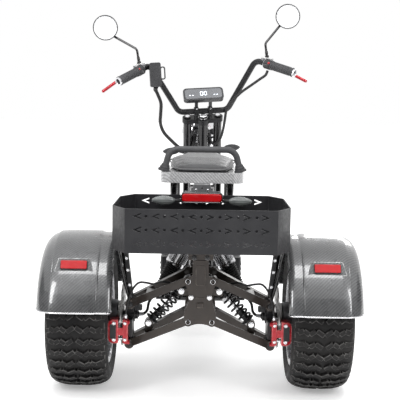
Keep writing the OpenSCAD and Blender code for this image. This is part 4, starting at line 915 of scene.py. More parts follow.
@dataclass
class RearSuspension(Assembly):
    """The tower, the double wishbones, the spring units and the knuckles."""

    upper_in: Pair = (40, 375)
    upper_out: Pair = (232, 281)
    lower_in: Pair = (38.5, 242)
    lower_out: Pair = (234, 147)
    rear_face: float = -131
    front_face: float = 105
    coil_low: Triple = (171, -12, 214)
    coil_high: Triple = (62, -12, 334)
    shock_low: Triple = (150, 215, 275)
    shock_high: Triple = (34, 215, 478)

    def build(self) -> None:
        """Build the suspension's pieces."""
        self.tower()
        self.cross_tube()
        self.arms()
        self.coils()
        self.shocks()
        self.knuckles()
        self.hoses()

    def tower(self) -> None:
        """Round off the tower and add its tab, weld seams and bolts."""
        self.rounded("rear_tower", "tower", BRONZE, 1.1)
        trim = Shape()
        for outline, thickness, bevel, taper, lift, z in (
                ([(-12, -9), (12, -9), (11, 9), (-11, 9)], 5, 1.4, 0.86, 7.4, 298),
                (rounded_outline(33, 2.4, 1.1, 3), 1.6, 0.5, 0.9, 7.4, 322),
                (rounded_outline(30, 66, 5), 1.8, 0.7, 0.97, 3.8, 396)):
            trim.add(Shape.slab(outline, thickness, bevel, taper).at(
                self.layout.put(0, self.rear_face + lift, z), BACK))
        self.show(trim, "tower_trim", BRONZE, CAST)
        heads = bolt_head(7, 7, 3.6).copies(
            place for x, z in (self.upper_in, self.lower_in, (30, 323))
            for place in self.pair(x, self.rear_face + 7, z, BACK))
        self.show(heads, "pivot_bolts", POLISHED, MACHINED)
        nuts = hex_nut(7.5, 8).copies(self.pair(21, self.rear_face + 6.8, 453, BACK))
        nuts.add(hex_nut(9.5, 8).copies(
            place for x, z in (self.upper_in, self.lower_in)
            for place in self.pair(x, self.front_face, z, AHEAD)))
        self.show(nuts, "tower_nuts", SATIN_BLACK, MACHINED)

    def cross_tube(self) -> None:
        """Turn the cross tube and its bright collars."""
        across = self.layout.put(0, 150, 280) @ turn(90, "Y")
        end = [(0, -93), (20, -93), (24, -91), (25, -88)]
        tube = Shape.turned([*end, *mirrored_back(end)], 48).at(across)
        ring = [(25.2, -8), (27.4, -8), (28, -7)]
        rings = Shape.turned([*ring, *mirrored_back(ring)], 48, closed=True).copies(
            across @ shift(z=s * 85) for s in SIDES)
        self.show(tube, "cross_tube_body", GLOSS_BLACK, MACHINED, "cross_tube")
        self.show(rings, "cross_tube_collars", POLISHED, MACHINED)

    def arms(self) -> None:
        """Round off the arms and close their bosses with caps and nuts."""
        self.rounded("upper_arms", "upper_wishbones", BRONZE, 1.8)
        self.rounded("lower_arms", "lower_wishbones", BRONZE, 1.8)
        caps, nuts = Shape(), Shape()
        for (x, z), radius in ((self.upper_out, 15.2), (self.lower_out, 15.6)):
            for y, facing in ((-48, BACK), (48, AHEAD)):
                for lay in self.pair(x, y, z, facing):
                    caps.add(Shape.drum(radius, 2.6, 1, 32).at(lay))
                    nuts.add(hex_nut(8, 6).at(lay, shift(z=2.4)))
        self.show(caps, "boss_caps", BRONZE, MACHINED)
        self.show(nuts, "boss_nuts", SATIN_BLACK, MACHINED)

    def between(self, low: Triple, high: Triple) -> list[Matrix]:
        """Lay z from the lower eye to the upper one on both sides."""
        ends = (self.line((low, high), s) for s in SIDES)
        return [unit_to(end - start, start) for start, end in ends]

    def coils(self) -> None:
        """Wind the springs and turn the dampers inside them."""
        length = (Vector(self.coil_high) - Vector(self.coil_low)).length
        low, high, turns, steps, coil_radius = 24.0, length - 28.0, 6.0, 26, 20.3
        wire = []
        for k in range(int(turns * steps) + 1):
            t = k / (turns * steps)
            flat = min(1.0, t * turns * 1.2, (1 - t) * turns * 1.2)
            climb = low + (high - low) * (t + 0.03 * math.sin(FULL_TURN * t) * (1 - flat))
            angle = FULL_TURN * turns * t
            wire.append(Vector((coil_radius * math.cos(angle), coil_radius * math.sin(angle), climb)) * MM)
        cup = [(0, 15), (22, 15), (24, 16), (24, 19), (20, 20.5), (12, 20.5), (11.5, 24), (11.5, 62),
               (10.5, 66), (0, 66)]
        top = [(r, length - drop) for r, drop in (
            (0, 19), (21, 19), (24, 20.5), (24, 23), (18, 25), (11, 28), (9, 40), (0, 40))]
        springs, dampers, bright = Shape(), Shape(), Shape()
        for lay in self.between(self.coil_low, self.coil_high):
            springs.add(Shape.hose([lay @ point for point in wire], 3.7))
            dampers.add(Shape.turned(cup, 40).at(lay), Shape.turned(top, 40).at(lay))
            bright.add(Shape.drum(6.6, length - 74, 0.4, 24).at(lay, shift(z=60)))
        for (x, y, z), nut_back in ((self.coil_low, 18.6), (self.coil_high, 69)):
            dampers.add(collar(6.2, 14, 12, 36).copies(self.pair(x, y, z, BACK)))
            bright.add(hex_nut(8.5, 6).copies(self.pair(x, y - nut_back, z, BACK)))
        self.show(springs, "spring_coils", GLOSS_BLACK, DRAWN, "coil_springs")
        self.show(dampers, "damper_bodies", SATIN_BLACK, CAST, "coilovers")
        self.show(bright, "damper_rods", POLISHED, CAST)

    def shocks(self) -> None:
        """Build the fluted cans with their ribbed boots."""
        length = (Vector(self.shock_high) - Vector(self.shock_low)).length
        lays = self.between(self.shock_low, self.shock_high)
        ribs = [(0, 17), (17, 17)]
        for k in range(11):
            z, r = 20 + 8.4 * k, 20.5 + 0.85 * k
            ribs += [(r - 4.5, z), (r, z + 2.6), (r, z + 4.2), (r - 4.5, z + 6.8)]
        ribs += [(20, 113), (0, 113)]
        flute = Shape.slab(rounded_outline(3.6, 3.2, 1.2, 3), length - 150, 0.7).at(shift(33.2, 0, 126))
        can = [(0, 111.5), (31, 111.5), (34, 113), (34, 120), (32.6, 124), (32.6, length - 28),
               (34, length - 25), (34, length - 20), (28, length - 17), (0, length - 17)]
        cans = Shape.turned(can, 64).add(flute.copies(spokes(24))).copies(lays)
        ends = Shape.drum(10, 16, 1, 24).at(shift(z=length - 22)).copies(lays)
        ends.add(collar(5, 13, 12, 32).copies(self.pair(*self.shock_high, turn(90, "Y"))),
                 collar(16.4, 22, 12, 40).copies(self.pair(*self.shock_low, turn(90, "Y"))))
        self.show(cans, "shock_cans", POLISHED, 24, "rear_shocks")
        self.show(Shape.turned(ribs, 48).copies(lays), "shock_boots", RUBBER, 50)
        self.show(ends, "shock_ends", GREY_METAL, CAST)

    def knuckles(self) -> None:
        """Round off the knuckles and add their nuts, plugs and fender stays."""
        for word in ("left", "right"):
            self.rounded(f"knuckle_{word}", f"knuckle_body_{word}", SATIN_BLACK, 1.3)
        stay = [(238, 24, 300), (252, 40, 360), (264, 60, 430), (273, 78, 480)]
        bright = hex_nut(16, 12).copies(self.outward(434.6, 0, 238))
        plugs = Shape.block((26, 22, 17), 2).copies(self.pair(207, -4, 262))
        stays = Shape().add(*(
            Shape.hose(flowing(self.line(((x, end * y, z) for x, y, z in stay), s), 5), 5.5)
            for s in SIDES for end in (-1, 1)))
        for z in (464, 486):
            bright.add(hex_nut(6, 5).copies(self.pair(262, -17, z, BACK)))
        for z in (300, 340, 390, 430):
            bright.add(bolt_head(4.4, 4, 2.4).copies(self.pair(230 + (z - 291) * 0.122, -17.2, z, BACK)))
        for k in range(4):
            plugs.add(Shape.block((3, 24, 19), 0.8).copies(self.pair(199 + 6 * k, -4, 262)))
        self.show(bright, "knuckle_nuts", POLISHED, CAST)
        self.show(plugs, "cable_plugs", BLACK_PLASTIC, CAST)
        self.show(stays, "fender_stays", GLOSS_BLACK, 50)

    def hoses(self) -> None:
        """Run the brake hoses and the motor cables on their routes, with their crimped ends."""
        brake = [(243, -95, 245), (241, -97, 270), (233, -98, 305), (220, -99, 342), (200, -100, 364),
                 (176, -97, 364), (150, -88, 358), (126, -72, 363), (104, -56, 358), (84, -52, 354),
                 (62, -48, 350), (40, -48, 338), (20.8, -48, 326)]
        motor = [(203.7, 0, 238), (190, 2, 239), (178, 10, 250), (172, 24, 276), (150, 34, 296),
                 (100, 36, 304), (60, 34, 304), (19.8, 30, 300)]
        runs, cables, crimps = Shape(), Shape(), Shape()
        for s in SIDES:
            for whole, route, radius in ((runs, brake, 3.5), (cables, motor, 4.5)):
                line = flowing(self.line(route, s), 8)
                whole.add(Shape.hose(line, radius))
                for start, after in ((line[0], line[1]), (line[-1], line[-2])):
                    crimps.add(Shape.drum(radius + 1.8, 15, 0.8, 20, radius + 0.9).at(
                        unit_to(after - start, start)))
        self.show(runs, "brake_hose_runs", RUBBER, DRAWN, "rear_hoses")
        self.show(cables, "motor_cable_runs", RUBBER, DRAWN, "motor_cables")
        self.show(crimps, "hose_crimps", GREY_METAL, CAST)


@dataclass
class RearCalipers(Assembly):
    """Two-piece red calipers with slider pins, bridge bolts, plain pads and a dark plate of painted shade for
    the outer half's window slot.
    """

    x: float = 258
    y: float = -95
    z: float = 205
    gap: float = 7

    def build(self) -> None:
        """Build one caliper and repeat it on both sides."""
        gap, red, bright, dark = self.gap, Shape(), Shape(), Shape()
        outer = [(0, -39.5), (20, -39.5), (30, -34), (34, -24), (34, 24), (30, 34), (20, 39.5), (0, 39.5)]
        inner = [(-17, -32), (-13, -38), (0, -39.5), (0, 39.5), (-13, 38), (-17, 32)]
        red.add(Shape.slab(outer, 42, 3).at(shift(gap, 21, 0), BACK),
                Shape.slab(inner, 42, 2.2).at(shift(-gap, 21, 0), BACK),
                Shape.block((26, 9, 26), 2).at(shift(2, -16.2, 0)))
        pin = [(0, 0), (5.5, 0), (7, 2), (7, 16), (5.5, 18), (0, 18)]
        for z in (30, -36):
            red.add(Shape.turned(pin, 24).at(shift(-24, -14, z), turn(-90, "Y"), shift(z=-12)))
        for z in (-27, 27):
            bright.add(bolt_head(5.2, 5, 2.8).at(shift(gap + 14, -21, z), BACK),
                       bolt_head(4.4, 4, 2.4).at(shift(-gap - 8, -21, z), BACK),
                       Shape.drum(5, 30, 0.8, 20).at(shift(-15, 2, z), turn(90, "Y")))
        bright.add(Shape.drum(6.5, 10, 1, 20).at(shift(-15, 0, 40)))
        # the thin dark plate on the outer half's back face is painted shade standing for its window slot
        dark.add(Shape.block((20, 2.4, 48), 1).at(shift(gap + 17, -21.4, 0)),
                 Shape.block((9, 14, 50), 1).at(shift(0, 14, 0)))
        for z in (-20, -7, 6, 19):
            dark.add(Shape.block((6, 3, 6), 1).at(shift(0, -17, z)))
        places = [self.layout.put(s * self.x, self.y, self.z) @ flip(s) for s in SIDES]
        self.show(red.copies(places), "caliper_halves", RED_METAL, CAST, "rear_calipers")
        self.show(bright.copies(places), "caliper_bolts", POLISHED, CAST)
        self.show(dark.copies(places), "caliper_pads_and_slot_shade", BLACK_PLASTIC, CAST)


@dataclass
class RearFenders(Assembly):
    """Carbon fenders with a raised middle panel, rolled edges and reflectors."""

    x: float = 397
    radius: float = 280
    low: float = 298
    tilt: float = 30
    seat_z: float = 440
    wall: float = 4

    def build(self) -> None:
        """Build both fenders, their seats, fins and reflectors."""
        # the weave paints a highlight along the rounded edges of the fenders and reflector seats
        weave = replace(FENDER_CARBON, wrap=(self.layout.rear_y, self.layout.axle_z))
        for side in Side:
            word, s = side.name.lower(), side.value
            self.show(self.shell(s), f"fender_{word}", weave, TURNED, f"rear_fender_{word}")
            self.show(self.seat(s), f"reflector_seat_{word}", weave, MACHINED)
            self.show(self.fins(s), f"fender_fins_{word}", weave, TURNED)
        self.reflectors()
        self.lips()

    @property
    def axle(self) -> float:
        """Give the axle's height in millimetres."""
        return self.layout.axle_z / MM

    def place(self, sign: int) -> Matrix:
        """Give a fender's own frame on the axle line, with x outboard."""
        return self.layout.put(sign * self.x, 0, self.axle) @ flip(sign)

    def skin(self) -> list[Pair]:
        """Give the fender's section: distance from the axle and distance outboard."""
        r = self.radius
        return [(r - 40, -120), (r - 20, -119.6), (r - 10, -117), (r - 5.5, -110), (r - 4, -98), (r - 4, -80),
                (r - 3.6, -75), (r, -68), (r + 0.8, -45), (r + 1, 0), (r + 0.2, 42), (r - 1.4, 66),
                (r - 6.5, 74), (r - 11, 86), (r - 19, 98), (r - 30, 108), (r - 45, 115.5), (r - 60, 119),
                (r - 75, 120)]

    def shell(self, sign: int) -> Shape:
        """Turn a fender's skin, cut its ends level and give it its wall."""
        shape = Shape()
        bm = shape.bm
        verts = [bm.verts.new((h * MM, a * MM, 0)) for a, h in self.skin()]
        edges = [bm.edges.new(pair) for pair in zip(verts, verts[1:])]
        bmesh.ops.spin(bm, geom=verts + edges, cent=(0, 0, 0), axis=(1, 0, 0), angle=math.pi, steps=72)
        bmesh.ops.bisect_plane(bm, geom=bm.verts[:] + bm.edges[:] + bm.faces[:], clear_outer=True,
                               plane_co=(0, 0, (self.low - self.axle) * MM), plane_no=(0, 0, -1))
        bmesh.ops.recalc_face_normals(bm, faces=bm.faces)
        bmesh.ops.solidify(bm, geom=bm.faces[:], thickness=self.wall * MM)
        return shape.soften(1.1, 2, 60).at(self.place(sign))

    def plane(self, sign: int) -> Matrix:
        """Give the plane of a reflector's seat, its lower edge on the skin."""
        low = self.seat_z - 22 - self.axle
        back = -math.sqrt(self.radius ** 2 - low ** 2)
        return self.place(sign) @ shift(0, back, low) @ turn(-self.tilt, "X")

    def seat(self, sign: int) -> Shape:
        """Shape the wedge that a reflector sits on."""
        depth = 58
        face = Shape.slab([(-62, 0), (62, 0), (50, 46), (-50, 46)], depth, 2.2)
        return face.at(self.plane(sign), shift(0, depth, 0), BACK)

    def fins(self, sign: int) -> Shape:
        """Shape the pointed ribs that run down the panel's creases."""
        place, steps, whole = self.place(sign), 24, Shape()
        for h, sink, first, last in ((-74, 2.5, 152, 196), (70, 4.5, 150, 178)):
            line, shares = [], []
            for k in range(steps + 1):
                a = math.radians(first + (last - first) * k / steps - 28)
                r = self.radius - sink
                line.append(place @ (Vector((h, r * math.cos(a), r * math.sin(a))) * MM))
                shares.append(0.15 + 0.85 * math.sin(math.pi * k / steps))
            whole.add(Shape.hose(line, 3.2, shares))
        return whole

    def reflectors(self) -> None:
        """Build the reflectors in their dark frames."""
        lays = [self.plane(s) @ shift(0, 0, 22) @ BACK for s in SIDES]
        glass = Shape.slab(rounded_outline(82, 27, 4), 7.4, 1.6).at(shift(z=0.4))
        frames = Shape.sheet_cut(rounded_outline(86, 31, 5), [rounded_outline(82.4, 27.4, 4)], 4.4, 0.5)
        self.show(glass.copies(lays), "reflector_glass", REFLECTOR, CAST, "fender_reflectors")
        self.show(frames.at(shift(z=2.6)).copies(lays), "reflector_frames", BLACK_PLASTIC, CAST)

    def lips(self) -> None:
        """Run the bright rolled lips along the fenders' lower edges."""
        lips, drop = Shape(), self.low - self.axle
        for s in SIDES:
            for end in (-1, 1):
                edge = [(self.x + h, end * math.sqrt((r - 2) ** 2 - drop ** 2), self.low + 0.6)
                        for r, h in self.skin()]
                lips.add(Shape.hose(self.line(edge, s), 2.6))
        self.show(lips, "fender_lips", POLISHED, 50)


# ---------- body ----------


@dataclass
class Basket(Assembly):
    """The cut-out steel basket with its bracket and fixings."""

    def build(self) -> None:
        """Build the basket, the bracket below it and its bolts."""
        # the basket's rounded edges take a painted highlight from its finish
        self.rounded("basket", "basket_sheet", BASKET_BLACK, 0.5, 30, 1, 60)
        self.rounded("basket_bracket", "basket_beams", BRONZE, 1.4)
        low, high = (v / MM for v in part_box("basket"))
        bolts = Shape()
        for y in (-102, -42):
            bolts.add(bolt_head(7, 5, 3.4).copies(self.pair(150, y, low.z + 2.6)))
        for z in (low.z + 32, high.z - 30):
            bolts.add(bolt_head(4.5, 3, 2.2).copies(self.outward(high.x + 0.1, -40, z)))
        self.show(bolts, "basket_bolts", POLISHED, MACHINED)


@dataclass
class TailLamps(Assembly):
    """The tail lamp in its bright bezel, the leaf-shaped signals and the plate's bracket."""

    lamp_y: float = 66
    lamp_z: float = 628.5
    width: float = 144
    height: float = 35
    signal_y: float = 62
    signal_z: float = 617

    def build(self) -> None:
        """Build the lamps."""
        w, h = self.width, self.height
        case = Shape.slab(rounded_outline(w - 2, h - 2, 11), 25, 1.5)
        bezel = Shape.sheet_cut(rounded_outline(w, h, 12), [rounded_outline(w - 7, h - 7, 9.4)], 8, 1.4)
        lens = Shape.slab(rounded_outline(w - 8, h - 8, 9), 11, 3, 0.96)
        for shape, lift, name, finish, smooth, nodes in (
                (case, 0, "tail_lamp_case", BLACK_PLASTIC, 32, ()),
                (bezel, 29, "tail_lamp_bezel", CHROME, 40, ()),
                (lens, 24.6, "tail_lamp_glass", RED_LENS, 40, ("tail_light",))):
            shape.at(self.layout.put(0, self.lamp_y + 12, self.lamp_z), BACK, shift(z=lift))
            self.show(shape, name, finish, smooth, *nodes)
        self.signals()
        self.rounded("plate_bracket", "plate_holder", GREY_METAL, 0.7, segments=1)
        self.show(bolt_head(5, 4, 2.6).copies(self.pair(20, 58, 653, BACK)), "plate_bolts", POLISHED, CAST)

    def signals(self) -> None:
        """Build the leaf-shaped signals, their dark shells and their stems."""
        leaf = [(0, -41), (6, -39), (11.5, -31), (15.4, -18), (16.3, -4), (15, 12), (11, 26), (5.5, 37),
                (0, 40)]
        y, z = self.signal_y, self.signal_z
        lays = self.outward(131, y, z, turn(15, "Z"))
        lens = Shape.turned(leaf, 12).copies(lays)
        shell = Shape.turned(scaled(leaf, 0.98, 0.97), 32).copies(lays).at(shift(0, 4.4, 0))
        stems = Shape().add(*(Shape.hose(self.line(((x, y, z) for x in (70, 82, 98)), s), 6) for s in SIDES))
        for k in range(3):
            stems.add(Shape.drum(8 - k, 2.6, 0.6, 24).copies(self.outward(76 + 4.4 * k, y, z)))
        self.show(lens, "rear_signal_glass", CLEAR_LENS, 12, "rear_signals")
        self.show(shell, "rear_signal_shells", BLACK_PLASTIC, TURNED)
        self.show(stems, "rear_signal_stems", RUBBER, TURNED)


@dataclass
class SeatAndCowl(Assembly):
    """The stuffed seat with its piping, the tail cowl and the foam grab rail."""

    swell: float = 0.007
    shrink: float = 0.982
    flatten: float = 0.9
    voxel: float = 0.006
    pressure: float = 4
    frames: int = 20
    fill: float = 0.85

    def build(self) -> None:
        """Build the cushion, its seams, the cowl and the rail."""
        self.cushion()
        self.seams()
        self.rounded("tail_cowl", "cowl", COWL_CARBON, 3.2, 40, 4, 40)
        self.rail()

    def cushion(self) -> None:
        """Stuff the seat's cover by inflating it as cloth, and set the result."""
        shape = Shape.cad("seat", 12, 3, 50)
        low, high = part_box("seat")
        centre = Matrix.Translation((low + high) / 2)
        shape.at(centre, Matrix.Diagonal((self.shrink, self.shrink, self.flatten, 1)), centre.inverted())
        seat = shape.piece("seat_cushion", self.body, SEAT_LEATHER, 80, ["seat"])
        remesh = seat.modifiers.new("even", "REMESH")
        remesh.mode, remesh.voxel_size = "VOXEL", self.voxel
        self.settle(seat)
        before = [v.co.copy() for v in seat.data.vertices]
        settings = seat.modifiers.new("stuffing", "CLOTH").settings
        settings.use_pressure = True
        settings.uniform_pressure_force = self.pressure
        settings.effector_weights.gravity = 0
        for frame in range(1, self.frames + 1):
            bpy.context.scene.frame_set(frame)
        self.settle(seat)
        for vertex, start in zip(seat.data.vertices, before):
            move = vertex.co - start
            limit = self.swell * min(1.0, max(0.15, (start.z - low.z) / (high.z - low.z) * 1.6))
            vertex.co = start + move.normalized() * min(move.length, limit)
        bpy.context.scene.frame_set(1)
        smooth = seat.modifiers.new("smooth", "SUBSURF")
        smooth.levels = smooth.render_levels = 1

    def settle(self, piece: bpy.types.Object) -> None:
        """Keep a piece's modified shape as its mesh."""
        mesh = bpy.data.meshes.new_from_object(piece.evaluated_get(bpy.context.evaluated_depsgraph_get()))
        piece.modifiers.clear()
        piece.data = mesh

    def seams(self) -> None:
        """Run piping round the seat, just below its crown; lengths here are metres."""
        low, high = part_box("seat")
        middle, foot, nose = (low.y + high.y) / 2, 0.002, 0.2
        shape = Shape.cad("seat")
        ring = sorted(
            {(round(v.co.x, 4), round(v.co.y, 4)) for v in shape.bm.verts if v.co.z < low.z + foot},
            key=lambda p: math.atan2(p[0], p[1] - middle))
        shape.bm.free()
        line = []
        for x, y in ring:
            along = y - low.y
            drop = 0.018 * max(0.0, 1 - along / nose) + 0.006 * max(0.0, (along - nose) / 0.4)
            line.append(Vector((x, middle + (y - middle) * 0.996, high.z - drop - 0.011)))
        self.show(Shape.hose([*line, line[0]], 2.6, sides=2), "seat_piping", THREAD, DRAWN)

    def rail(self) -> None:
        """Run the foam grab rail and the boots at its feet."""
        foot, top = (132, 150, 712.1), (112, 150, 786)
        path = filleted([*self.line((foot, top), -1), *self.line((top, foot))], 38 * MM)
        self.show(Shape.hose(path, 11, sides=5), "grab_rail_foam", GRIP, DRAWN, "grab_rail")
        profile = [(0, -1.5), (21, -1.5), (22, 1), (21, 6), (17.5, 8), (18, 11), (16.5, 15), (14.5, 17),
                   (14.8, 20), (12, 25), (0, 25)]
        boots = Shape()
        for s in SIDES:
            base, start, end = self.line(((132.4, 150, 711), foot, top), s)
            boots.add(Shape.turned(profile, 36).at(unit_to(end - start, base)))
        self.show(boots, "grab_rail_boots", BLACK_PLASTIC, TURNED)


@dataclass
class ChassisFrame(Assembly):
    """The welded frames, the battery box and the floor."""

    deck_back: float = 640
    deck_front: float = 960
    deck_top: float = 390.3
    battery_middle: float = 750
    ribs: int = 15

    def build(self) -> None:
        """Build the frame's pieces."""
        self.rounded("main_frame", "frame_tubes", GLOSS_BLACK, 1.2)
        self.rounded("seat_frame", "seat_rails", GLOSS_BLACK, 1.2)
        self.rounded("battery_box", "battery_case", SATIN_BLACK, 5, segments=3)
        self.rounded("floor_deck", "floor_plate", SATIN_BLACK, 1)
        middle, length = (self.deck_back + self.deck_front) / 2, self.deck_front - self.deck_back
        mat = Shape.slab(rounded_outline(296, length - 26, 14), 2.4, 0.8).at(
            self.layout.put(0, middle, self.deck_top - 0.4))
        mat.add(Shape.slab(rounded_outline(252, 5, 2.4, 3), 2.2, 0.7).copies(
            self.layout.put(0, middle + (length - 70) * (k / (self.ribs - 1) - 0.5), self.deck_top + 1.6)
            for k in range(self.ribs)))
        self.show(mat, "floor_mat", RUBBER, CAST)
        fins = Shape.slab(rounded_outline(330, 4.4, 2, 3), 4, 1).copies(
            place for z in range(230, 311, 20)
            for place in self.outward(157.4, self.battery_middle, z, turn(90, "Z")))
        self.show(fins, "battery_ribs", SATIN_BLACK, CAST)
        screws = bolt_head(5, 3.4, 2.6).copies(
            place for y in (self.deck_back + 26, middle, self.deck_front - 26)
            for place in self.pair(144, y, self.deck_top + 1.4))
        self.show(screws, "floor_screws", POLISHED, CAST)


# ---------- front end ----------


@dataclass
class FrontEnd(Assembly):
    """The fork with its clamps, headlamp, signals, mudguard, caliper and wheel."""

    body = Body.STEERING
    leg_x: float = 66
    leg_y: float = 16
    lamp_y: float = 92
    lamp_z: float = -130
    signal_z: float = -176
    rake: float = 28

    def build(self) -> None:
        """Build the front end's pieces."""
        self.fork()
        self.headlamp()
        self.signals()
        self.guard()
        self.wheel()

    def on_fork(self, x: float, y: float, z: float) -> Matrix:
        """Move to a place in the fork's own frame, in millimetres."""
        return self.layout.fork @ shift(x, y, z)

    def bar(self, radius: float, *ends: Point) -> Shape:
        """Run a round bar between two places in the fork's own frame."""
        return Shape.hose([self.on_fork(*end) @ Vector() for end in ends], radius)

    def fork(self) -> None:
        """Turn the fork legs with their seals, and finish the clamps."""
        tube = [(0, -440), (15, -440), (15, 4), (13, 6), (9, 6.4), (8, 4), (0, 4)]
        slider = [
            (0, -757), (12, -757), (16, -754), (17.4, -748), (17.5, -700), (16.6, -690), (16.6, -470),
            (17.4, -462), (17.5, -452), (16.9, -450), (17.5, -448), (17.5, -440), (15.1, -436), (0, -436)]
        shroud = [(15.2, -25), (17, -25), (18, -27), (18, -229), (17, -231), (15.2, -231)]
        leg = Shape.turned(tube, 40).add(Shape.turned(slider, 40), Shape.turned(shroud, 40, closed=True))
        legs = leg.copies(self.on_fork(s * self.leg_x, self.leg_y, 0) for s in SIDES)
        self.show(legs, "fork_legs", GLOSS_BLACK, CAST)
        self.rounded("fork", "fork_core", GLOSS_BLACK, 0.8)
        self.rounded("fork_clamps", "clamp_plates", SATIN_BLACK, 1.6)
        nut = hex_nut(17, 15).at(self.on_fork(0, 0, 4))
        for s in SIDES:
            nut.add(Shape.drum(11, 5, 1.6, 6).at(self.on_fork(s * self.leg_x, self.leg_y, 3)))
            for end in (-1, 1):
                nut.add(bolt_head(3.6, 4, 2).at(self.on_fork(s * 30, end * 13.3, 54), turn(end * -9.8, "X")))
        self.show(nut, "clamp_nut", CHROME, MACHINED)

    def headlamp(self) -> None:
        """Turn the headlamp's chrome shell, its rim and glass, and hang it on its brackets."""
        bowl = [(80 * math.sin(math.radians(a)), -46 * math.cos(math.radians(a))) for a in range(0, 91, 6)]
        rim = [(76, 10), (80, 11), (80.4, 15), (77, 22), (74, 23), (73, 18)]
        glass = [(0, 14), (75.6, 14), (75.6, 18), (60, 24.5), (36, 28.6), (0, 30)]
        lay = self.on_fork(0, self.lamp_y, self.lamp_z) @ turn(-self.rake, "X") @ AHEAD
        for profile, closed, name, finish, nodes in (
                ([*bowl, (80, 10), (77, 12), (0, 12)], False, "headlamp_shell", CHROME, ("headlight",)),
                (rim, True, "headlamp_rim", CHROME, ()),
                (glass, False, "headlamp_glass", HEAD_LENS, ())):
            self.show(Shape.turned(profile, 72, closed).at(lay), name, finish, 40, *nodes)
        gland = [(0, -30), (9, -30), (9, -24), (7.6, -23), (7.6, -18), (9, -17), (9, 0), (0, 0)]
        brackets = Shape()
        for s in SIDES:
            brackets.add(
                self.bar(6, (s * 60, self.lamp_y + 10, self.lamp_z), (s * self.leg_x, 31.4, self.lamp_z)),
                Shape.turned(gland, 28).at(self.on_fork(s * 30, self.lamp_y - 18, -110), AHEAD))
        self.show(brackets, "headlamp_brackets", SATIN_BLACK, CAST)

    def signals(self) -> None:
        """Build the front signals with their dark shells and stems."""
        leaf = [(0, -38), (6, -35.5), (11.5, -27), (15, -14), (15.8, 0), (14.4, 12), (10.4, 24), (5, 34),
                (0, 38)]
        back = chain(self.layout.fork, shift(0, -2.2, 0), self.layout.fork.inverted())
        z = self.signal_z
        lays = [chain(self.on_fork(s * 136, 34, z), turn(90 * s, "Y"), turn(15, "Z")) for s in SIDES]
        glass = Shape.turned(leaf, 12).copies(lays)
        shells = Shape.turned(scaled(leaf, 1.01, 0.98), 32).copies(lays).at(back)
        shells.add(*(self.bar(6, (s * 84.5, 16, z), (s * 112, 34, z)) for s in SIDES))
        self.show(glass, "front_signal_glass", CLEAR_LENS, 12, "front_signals")
        self.show(shells, "front_signal_shells", BLACK_PLASTIC, TURNED)

    def guard(self) -> None:
        """Finish the front mudguard and the caliper."""
        self.rounded("front_fender", "mudguard", MUDGUARD_CARBON, 1.2, 36)
        self.rounded("front_caliper", "front_caliper_body", RED_METAL, 2.4, 36, 3)

    def wheel(self) -> None:
        """Build the front wheel: tyre, five-spoke rim and drilled disc."""
        wheel = FrontWheel(self.layout)
        place = chain(Matrix.Translation(self.layout.front_axle), self.layout.fork.to_3x3().to_4x4(),
                      turn(90, "Y"))
        tyre = Tyre(235, 85, 165, 0.8, 7)
        lugs = (((14, 15, 9), 8.5, 24, 0), ((13, 16, 9), 24, -18, 8), ((11, 14, 8), 36, 10, 1))
        row = Shape().add(*(tyre.lug(size, s * across, s * slant, lead, 1.2)
                            for s in SIDES for size, across, slant, lead in lugs))
        wheel.show(tyre.carcass().add(tyre.around(row, 56)).at(place), "tyre_front", TYRE, 34, "front_tyre")
        wheel.rounded("front_rim", "rim_front", RIM_ALLOY, 1.6)
        wheel.rounded("front_disc", "disc_front", DISC_STEEL, 0.4, segments=1)


class FrontWheel(Assembly):
    """What turns on the front axle."""

    body = Body.FRONT_WHEEL


